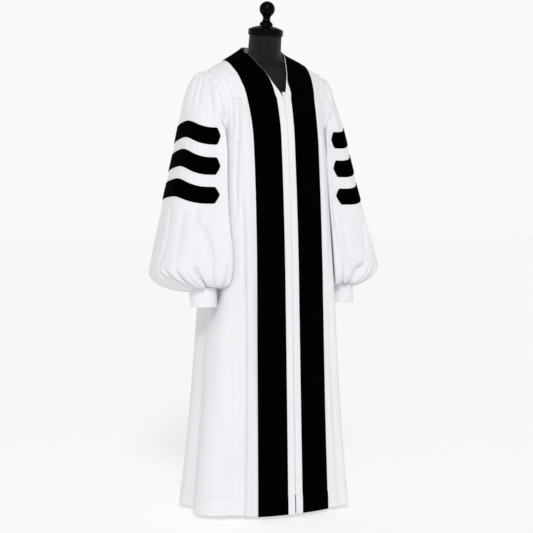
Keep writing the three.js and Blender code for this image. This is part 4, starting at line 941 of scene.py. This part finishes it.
def zip_plastic():
    nodes = Nodes("zip_plastic")
    grain = nodes.noise(400, 2)
    nodes.bumps((grain, 0.08, 0.0002))
    nodes.tone(grain, 0.3, 0.7, (0.78, 0.78, 0.80), (0.84, 0.84, 0.86))
    return nodes.finish(Roughness=0.35)


def thread_white():
    nodes = Nodes("thread_white")
    twist = nodes.wave(nodes.space, 400, "DIAGONAL")
    nodes.bumps((twist, 0.3, 0.0001))
    nodes.tone(twist, 0.2, 0.8, (0.80, 0.80, 0.83), (0.88, 0.88, 0.90))
    return nodes.finish(Roughness=0.6, Sheen_Weight=0.2)


def woven_tape():
    nodes = Nodes("woven_tape")
    ribs = nodes.weave(0.0009, 0.0012)
    nodes.bumps((ribs, 0.4, 0.0003))
    nodes.tone(ribs, 0.1, 0.9, (0.70, 0.70, 0.73), (0.78, 0.775, 0.81))
    return nodes.finish(Roughness=0.7, Sheen_Weight=0.1, Specular_IOR_Level=0.3)


cloth = white_cloth()
tape_cloth = woven_tape()
velvet = black_velvet()
form_cloth = form_fabric()
gloss = black_gloss()
plastic = zip_plastic()
thread = thread_white()


# Pieces

SIDE_NAMES = {-1: "right", 1: "left"}


def panel_heights(skirt_rows, gather_rows):
    """Heights of a panel's rows, close at the line of stitches above the hem and under the yoke."""
    at_hem = HEM["up"] + np.array([-4, -2, -1.2, -0.6, 0, 0.6, 1.2, 2, 4])
    skirt, gathers = even(70, 1200, skirt_rows), even(1207, YOKE_SEAM_UP, gather_rows)
    return np.concatenate([even(0, 50, 7), at_hem, skirt, gathers])


def front_panel(side):
    name = SIDE_NAMES[side]
    ups = panel_heights(110, 46)[:, None]
    stations = np.concatenate([even(0, 1, 33), even(1, 5, 7)[1:], even(5, LAST_STATION, 104)[1:]])[None, :]
    grid = trimmed(facing(front_station(side, stations, ups), side))
    return wall(f"cloth_front_{name}", grid, cloth, f"front_{name}")


def back_panel():
    ups = panel_heights(104, 42)[:, None]
    grid = trimmed(back_point(even(1, -1, 250)[None, :], ups))
    return wall("cloth_back", grid, cloth, "back")


def raise_ridge(grid, edge_column):
    edge = grid[:, edge_column][:, None]
    inside = np.linalg.norm(grid - edge, axis=-1)
    lift = RIDGE["height"] * bump(inside - RIDGE["offset"], RIDGE["width"])
    lift[0] = 0
    return grid + normals_of(grid) * lift[..., None]


def trough(grid, start, end, width, depth):
    """The grid lowered along the line between two points."""
    line = end - start
    share = np.clip((grid - start) @ line / (line @ line), 0, 1)
    away = np.linalg.norm(grid - start - share[..., None] * line, axis=-1)
    return grid - normals_of(grid) * (depth * fold(away, width))[..., None]




def front_yoke(side):
    name = SIDE_NAMES[side]
    stations = np.concatenate([even(0, 5, 20), even(5, LAST_STATION, 70)[1:]])[None, :]
    grid = raise_ridge(front_yoke_point(stations, even(0, 1, 60)[:, None]), -1)
    for start, end, width, depth in YOKE_CREASES[side]:
        grid = trough(grid, front_yoke_point(*start), front_yoke_point(*end), width, depth)
    if side < 0:
        grid = mirrored(grid)
    grid = trimmed(facing(grid, side))
    return wall(f"cloth_yoke_front_{name}", grid, cloth, f"yoke_front_{name}")


def back_yoke():
    left = back_yoke_point(even(0, 1, 56)[None, :], even(0, 1, 60)[:, None])
    grid = np.concatenate([left, mirrored(left[:-1])[::-1]])
    return wall("cloth_yoke_back", trimmed(grid), cloth, "yoke_back")


def velvet_profile(width, columns):
    """Shares across a strip, close near its edges, and the lift that rounds its edges down."""
    inner = even(8, width - 8, columns)
    across = np.concatenate([NEAR_EDGE, inner, width - NEAR_EDGE[::-1]])
    inside = np.clip(np.minimum(across, width - across) / VELVET_EDGE, 0, 1)
    lift = VELVET_LIFT + VELVET_WALL * np.sqrt(1 - (1 - inside) ** 2)
    return across / width, lift


def velvet_panel(side):
    name = SIDE_NAMES[side]
    share, lift = velvet_profile(PANEL_WIDTH, 14)
    share = share[None, :]
    ups = even(0, YOKE_SEAM_UP - 2, 150)[:, None]
    low = front_station(side, 1 + (VELVET_STATION - 1) * share, ups)
    t = even(0.01, 1, 44)[:, None]
    start = strip_station(t)
    middle = front_yoke_point(start + (VELVET_STATION - start) * share, t)
    turn = even(0.03, 1, 34)[:, None]
    width = mix(BACK_VELVET[0], BACK_VELVET[1], smooth(turn))
    reach = np.linalg.norm(back_yoke_outer(turn) - neck_back_at(turn), axis=-1)
    back = back_yoke_point(width / reach * share, turn)
    if side < 0:
        middle, back = mirrored(middle), mirrored(back)
    grid = trimmed(facing(np.concatenate([low, middle, back]), side))
    lifts = np.broadcast_to(lift[None, :], grid.shape[:2]).copy()
    if side < 0:
        lifts = lifts[:, ::-1]
    ends = np.clip(np.arange(len(grid)) / 2, 0, 1)[:, None]
    lifts = VELVET_LIFT + (lifts - VELVET_LIFT) * (0.6 + 0.4 * ends)
    return wall(f"velvet_panel_{name}", grid, velvet, f"velvet_{name}", lift=lifts)


def sleeve(side):
    name = SIDE_NAMES[side]
    places = np.concatenate([even(0, 3, 44), even(3, 12, 70)[1:], even(12, LAST_RING, 62)[1:]])[:, None]
    angles = np.concatenate([even(-122, 126, 204), even(126, 238, 30)[1:-1]])[None, :]
    grid = sleeve_point(side, places, angles)
    grid[0, :, 0] += side * ARMHOLE_GAP
    grid = trimmed(facing(grid, side), closed=True)
    gores = [f"sleeve_{name}_{gore}" for gore in ("front", "inner", "back")]
    return wall(f"cloth_sleeve_{name}", grid, cloth, gores, closed=True)


def sleeve_bar(side, number, top, low, front, back):
    name = SIDE_NAMES[side]
    share, lift = velvet_profile(BAR_WIDTH, 8)
    angles = even(back, front, 96)[:, None]
    from_tip = np.minimum(front - angles, angles - back)
    half = np.clip(0.04 + 0.96 * from_tip / BAR_POINT, 0, 1) / 2
    place = mix(low, top, 0.5 + (share[None, :] - 0.5) * 2 * half)
    grid = facing(sleeve_point(side, place, angles), side)
    lifts = np.broadcast_to(lift[None, :], grid.shape[:2]).copy()
    closing = np.clip(from_tip / 1.2, 0, 1)
    lifts = VELVET_LIFT + (lifts - VELVET_LIFT) * (0.3 + 0.7 * closing)
    return wall(f"velvet_bar_{name}_{number}", grid, velvet, f"bar_{name}_{number}", lift=lifts)


def cuff_at(t):
    """Height, middle and radius of a left cuff, from its foot (0) to its top (1)."""
    return (mix(low, top, t) for low, top in zip(CUFF["low"], CUFF["top"]))


def cuff(side):
    name = SIDE_NAMES[side]
    t = even(0, 1, 40)[:, None]
    turn = even(0, 2 * math.pi, 121)[None, :-1]
    up, x, y, plain = cuff_at(t)
    puff = 0.9 * np.sin(np.pi * t) + 0.35 * np.sin(5 * turn + 3 * t) * np.sin(np.pi * t)
    edge = -0.5 * bump(t - 0.08, 0.03) - 0.5 * bump(t - 0.93, 0.02)
    radius = plain + puff + edge - 0.4
    grid = spots(side * x + radius * np.cos(turn), y + radius * np.sin(turn), up)
    return wall(f"cloth_cuff_{name}", grid, cloth, f"cuff_{name}", thickness=2.2, closed=True)


def zip_tape():
    """The tape just behind the fronts, drawn in at its top where it lies in the foot of the V."""
    ups = even(TAPE["low"], YOKE_SEAM_UP - 8, 110)
    rows = [(up, TAPE["half"], TAPE["behind"] - plain_radius(0, up)) for up in ups]
    rows = np.array(rows + TAPE["top"], float)
    share = even(-1, 1, 15)[None, :]
    up, half, y = (rows[:, column][:, None] for column in range(3))
    ribs = 0.12 * np.cos(7 * np.pi * share)
    grid = spots(half * share, y + 0.25 + ribs, up)
    piece = wall("zip_tape_woven", grid, tape_cloth, "zip_tape", thickness=0.7)
    line = spots(0, rows[::-1, 2] - 0.15, rows[::-1, 0])
    teeth = stitches("zip_teeth", line, TAPE["tooth"], plastic)
    return piece, teeth




def stitches(name, line, size, material):
    """A row of small stitches or teeth laid end to end along a line in millimetres."""
    pitch, length, half, high = size
    run = np.concatenate([[0], np.cumsum(np.linalg.norm(np.diff(line, axis=0), axis=1))])
    at = np.arange(pitch, run[-1] - pitch / 2, pitch)
    middle = np.stack([np.interp(at, run, line[:, k]) for k in range(3)], -1)
    ahead = np.stack([np.interp(at + 0.5, run, line[:, k]) for k in range(3)], -1) - middle
    ahead /= np.linalg.norm(ahead, axis=1, keepdims=True)
    out = middle * [1, 1, 0]
    out /= np.linalg.norm(out, axis=1, keepdims=True)
    across = np.cross(ahead, out)
    corners = [middle - ahead * length / 2, middle + ahead * length / 2, middle - across * half,
               middle + out * high, middle + across * half, middle - out * high]
    points = np.stack(corners, 1).reshape(-1, 3) * MM
    faces = (np.array(DIAMOND)[None] + 6 * np.arange(len(middle))[:, None, None]).reshape(-1, 3)
    piece = mesh_object(name, points, faces, None, material, 80)
    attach(piece, BODY)
    return piece


def sewing():
    """Rows of stitches above the hem, along the fly, over the yoke seams and round the cuffs."""
    rows = {}
    for side, name in SIDE_NAMES.items():
        hem_strip = front_station(side, even(0.02, 0.98, 20), np.full(20, float(HEM["up"])))
        hem = front_station(side, even(5.05, 14.95, 200), np.full(200, float(HEM["up"])))
        edge = front_station(side, np.full(160, 0.14), even(8, YOKE_SEAM_UP - 30, 160))
        rows[f"front_{name}"] = [("hem_strip", hem_strip), ("hem", hem), ("edge", edge)]
        seam = front_yoke_point(even(5.1, 14.8, 60), np.full(60, 0.03))
        rows[f"yoke_front_{name}"] = [("seam", seam if side > 0 else mirrored(seam))]
        rows[f"cuff_{name}"] = [(f"round_{n}", cuff_ring(side, share)) for n, share in enumerate(CUFF_SEWN)]
    rows["back"] = [("hem", back_point(even(0.99, -0.99, 400), np.full(400, float(HEM["up"]))))]
    share = ARMHOLE_SHARE + even(0.03, 0.97, 120) * (1 - ARMHOLE_SHARE)
    rows["yoke_back"] = [("seam", back_yoke_point(np.full(120, 0.97), share))]
    return {
        piece: [stitches(f"stitch_{piece}_{label}", line, STITCH, thread) for label, line in lines]
        for piece, lines in rows.items()
    }


def cuff_ring(side, share):
    turn = even(0, 2 * math.pi, 90)
    up, x, y, radius = cuff_at(share)
    radius = radius + 0.1
    return spots(side * x + radius * np.cos(turn), y + radius * np.sin(turn), up)


def torso():
    ups = np.concatenate([[690, 692], even(700, 1388, 60), even(1392, 1539, 60)])
    half, front, back, mid = (column[:, None] for column in read_table(TORSO, ups))
    turn = even(0, 2 * math.pi, 129)[None, :-1]
    depth = np.where(np.sin(turn) < 0, front, back)
    grid = spots(half * np.cos(turn), mid + depth * np.sin(turn), ups[:, None])
    caps = [grid[:1] * [0.02, 0.02, 1] + [0, 4.9, 0], grid[-1:] * [0.02, 0.02, 1] + [0, 6.8, 0]]
    grid = np.concatenate([caps[0], grid, caps[1]])
    return solid("fabric_torso", grid, form_cloth, "form_torso")


def solid(name, grid, material, node, sharp=50):
    """A closed body through rings in millimetres, its first and last ring drawn to a point."""
    rows, columns = grid.shape[:2]
    faces = quads(point_numbers(rows, columns, True))
    points = grid.reshape(-1, 3) * MM
    turn = np.arange(columns) / columns
    along_up = np.linalg.norm(np.diff(grid, axis=0), axis=-1).mean(1)
    v = np.concatenate([[0], np.cumsum(along_up)]) * MM
    uv = np.stack(np.broadcast_arrays(turn[None, :] * 0.9, v[:, None]), -1).reshape(-1, 2)
    piece = mesh_object(name, points, faces, uv, material, sharp)
    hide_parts(node)
    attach(piece, BODY)
    return piece


def turned_piece(name, profile, node, place=(0, 0), tilt=0):
    """A round piece from a profile of (radius, height), with eased corners."""
    radius, up = (column[:, None] for column in eased(profile))
    turn = even(0, 2 * math.pi, 97)[:-1]
    x, y = radius * np.cos(turn), radius * np.sin(turn)
    lean = math.radians(tilt)
    depth = y * math.cos(lean) - up * math.sin(lean)
    height = y * math.sin(lean) + up * math.cos(lean)
    grid = np.stack([x, depth + place[0], height + place[1]], -1)
    return solid(name, grid, gloss, node, sharp=38)


def eased(profile, cut=0.18, rounds=2):
    """The profile with its corners cut a little, twice, so that edges catch the light."""
    line = np.array(profile, float)
    for _ in range(rounds):
        step = np.diff(line, axis=0)
        length = np.linalg.norm(step, axis=1, keepdims=True)
        share = np.minimum(cut, 0.6 / np.maximum(length, 1e-6))
        first, second = line[:-1] + step * share, line[1:] - step * share
        line = np.concatenate([line[:1], np.stack([first, second], 1).reshape(-1, 2)[1:-1], line[-1:]])
    return line[:, 0], line[:, 1]


def head_of_form():
    place = (NECK_TOP["y"], NECK_TOP["up"] + HEM_UP)
    turned_piece("gloss_cap", CAP_PROFILE, "form_cap", place, NECK_TOP["tilt"])
    radius, middle = BALL
    turns = even(math.asin(STEM_PROFILE[-1][0] / radius) + 0.25, math.pi, 26)
    ball = [(max(0.5, radius * math.sin(turn)), middle - radius * math.cos(turn)) for turn in turns]
    turned_piece("gloss_finial", STEM_PROFILE + ball, "form_finial", place, NECK_TOP["tilt"])


def stand():
    turned_piece("gloss_base", BASE_PROFILE, "form_base")
    turned_piece("gloss_pole", POLE_PROFILE, "form_pole")


def dress_nodes():
    for node in ("zip_slider", "zip_pull"):
        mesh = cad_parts[node].data
        mesh.materials.clear()
        mesh.materials.append(plastic)


front_pieces = {side: front_panel(side) for side in (-1, 1)}
back_piece = back_panel()
yoke_pieces = {side: front_yoke(side) for side in (-1, 1)}
back_yoke_piece = back_yoke()
velvet_pieces = {side: velvet_panel(side) for side in (-1, 1)}
sleeve_pieces = {side: sleeve(side) for side in (-1, 1)}
bar_pieces = {side: [sleeve_bar(side, n + 1, *bar) for n, bar in enumerate(BARS)] for side in (-1, 1)}
cuff_pieces = {side: cuff(side) for side in (-1, 1)}
tape_piece, teeth_piece = zip_tape()
seams = sewing()
torso()
head_of_form()
stand()
dress_nodes()



# Light, floor and camera

def studio():
    """A bright surround, dimmer overhead, and the lamps."""
    world = bpy.data.worlds.new("studio")
    world.use_nodes = True
    tree = world.node_tree
    coordinates = tree.nodes.new("ShaderNodeTexCoord")
    split = tree.nodes.new("ShaderNodeSeparateXYZ")
    ramp = tree.nodes.new("ShaderNodeValToRGB")
    ramp.color_ramp.elements[0].position = 0.24
    ramp.color_ramp.elements[1].position = 0.5
    ramp.color_ramp.elements[0].color = (0.956, 0.948, 0.932, 1)
    ramp.color_ramp.elements[1].color = (DOME, DOME, DOME * 1.01, 1)
    tree.links.new(coordinates.outputs["Generated"], split.inputs["Vector"])
    tree.links.new(split.outputs["Z"], ramp.inputs["Fac"])
    tree.links.new(ramp.outputs["Color"], tree.nodes["Background"].inputs["Color"])
    scene = bpy.context.scene
    scene.world = world
    scene.view_settings.view_transform = "Standard"
    scene.view_settings.look = "None"
    for name, kind, place, values in LAMPS:
        light = bpy.data.lights.new(name, kind)
        for key, value in values.items():
            setattr(light, key, value)
        lamp = bpy.data.objects.new(name, light)
        lamp.location = place
        towards = Vector(LIT_POINT) - Vector(place)
        lamp.rotation_euler = towards.to_track_quat("-Z", "Y").to_euler()
        scene.collection.objects.link(lamp)


def floor():
    """A wide pale floor."""
    corners = [(-1, -1, 0), (1, -1, 0), (1, 1, 0), (-1, 1, 0)]
    points = FLOOR_HALF * np.array(corners, float)
    nodes = Nodes("pale_floor")
    nodes.tone(nodes.noise(3), 0.3, 0.7, (0.45, 0.446, 0.438), (0.46, 0.456, 0.448))
    pale = nodes.finish(Roughness=0.95, Specular_IOR_Level=0.1, Emission_Strength=FLOOR_GLOW,
                        Emission_Color=(1, 0.992, 0.975, 1))
    mesh_object("floor", points, np.array([[0, 1, 2, 3]]), None, pale)




def camera():
    data = bpy.data.cameras.new("camera")
    data.lens = CAMERA["lens"]
    data.sensor_width = 36
    eye = bpy.data.objects.new("camera", data)
    eye.location = CAMERA["place"]
    eye.rotation_euler = (math.radians(90 - CAMERA["down"]), 0, -math.radians(CAMERA["turn"]))
    bpy.context.scene.collection.objects.link(eye)
    bpy.context.scene.camera = eye


studio()
floor()
camera()
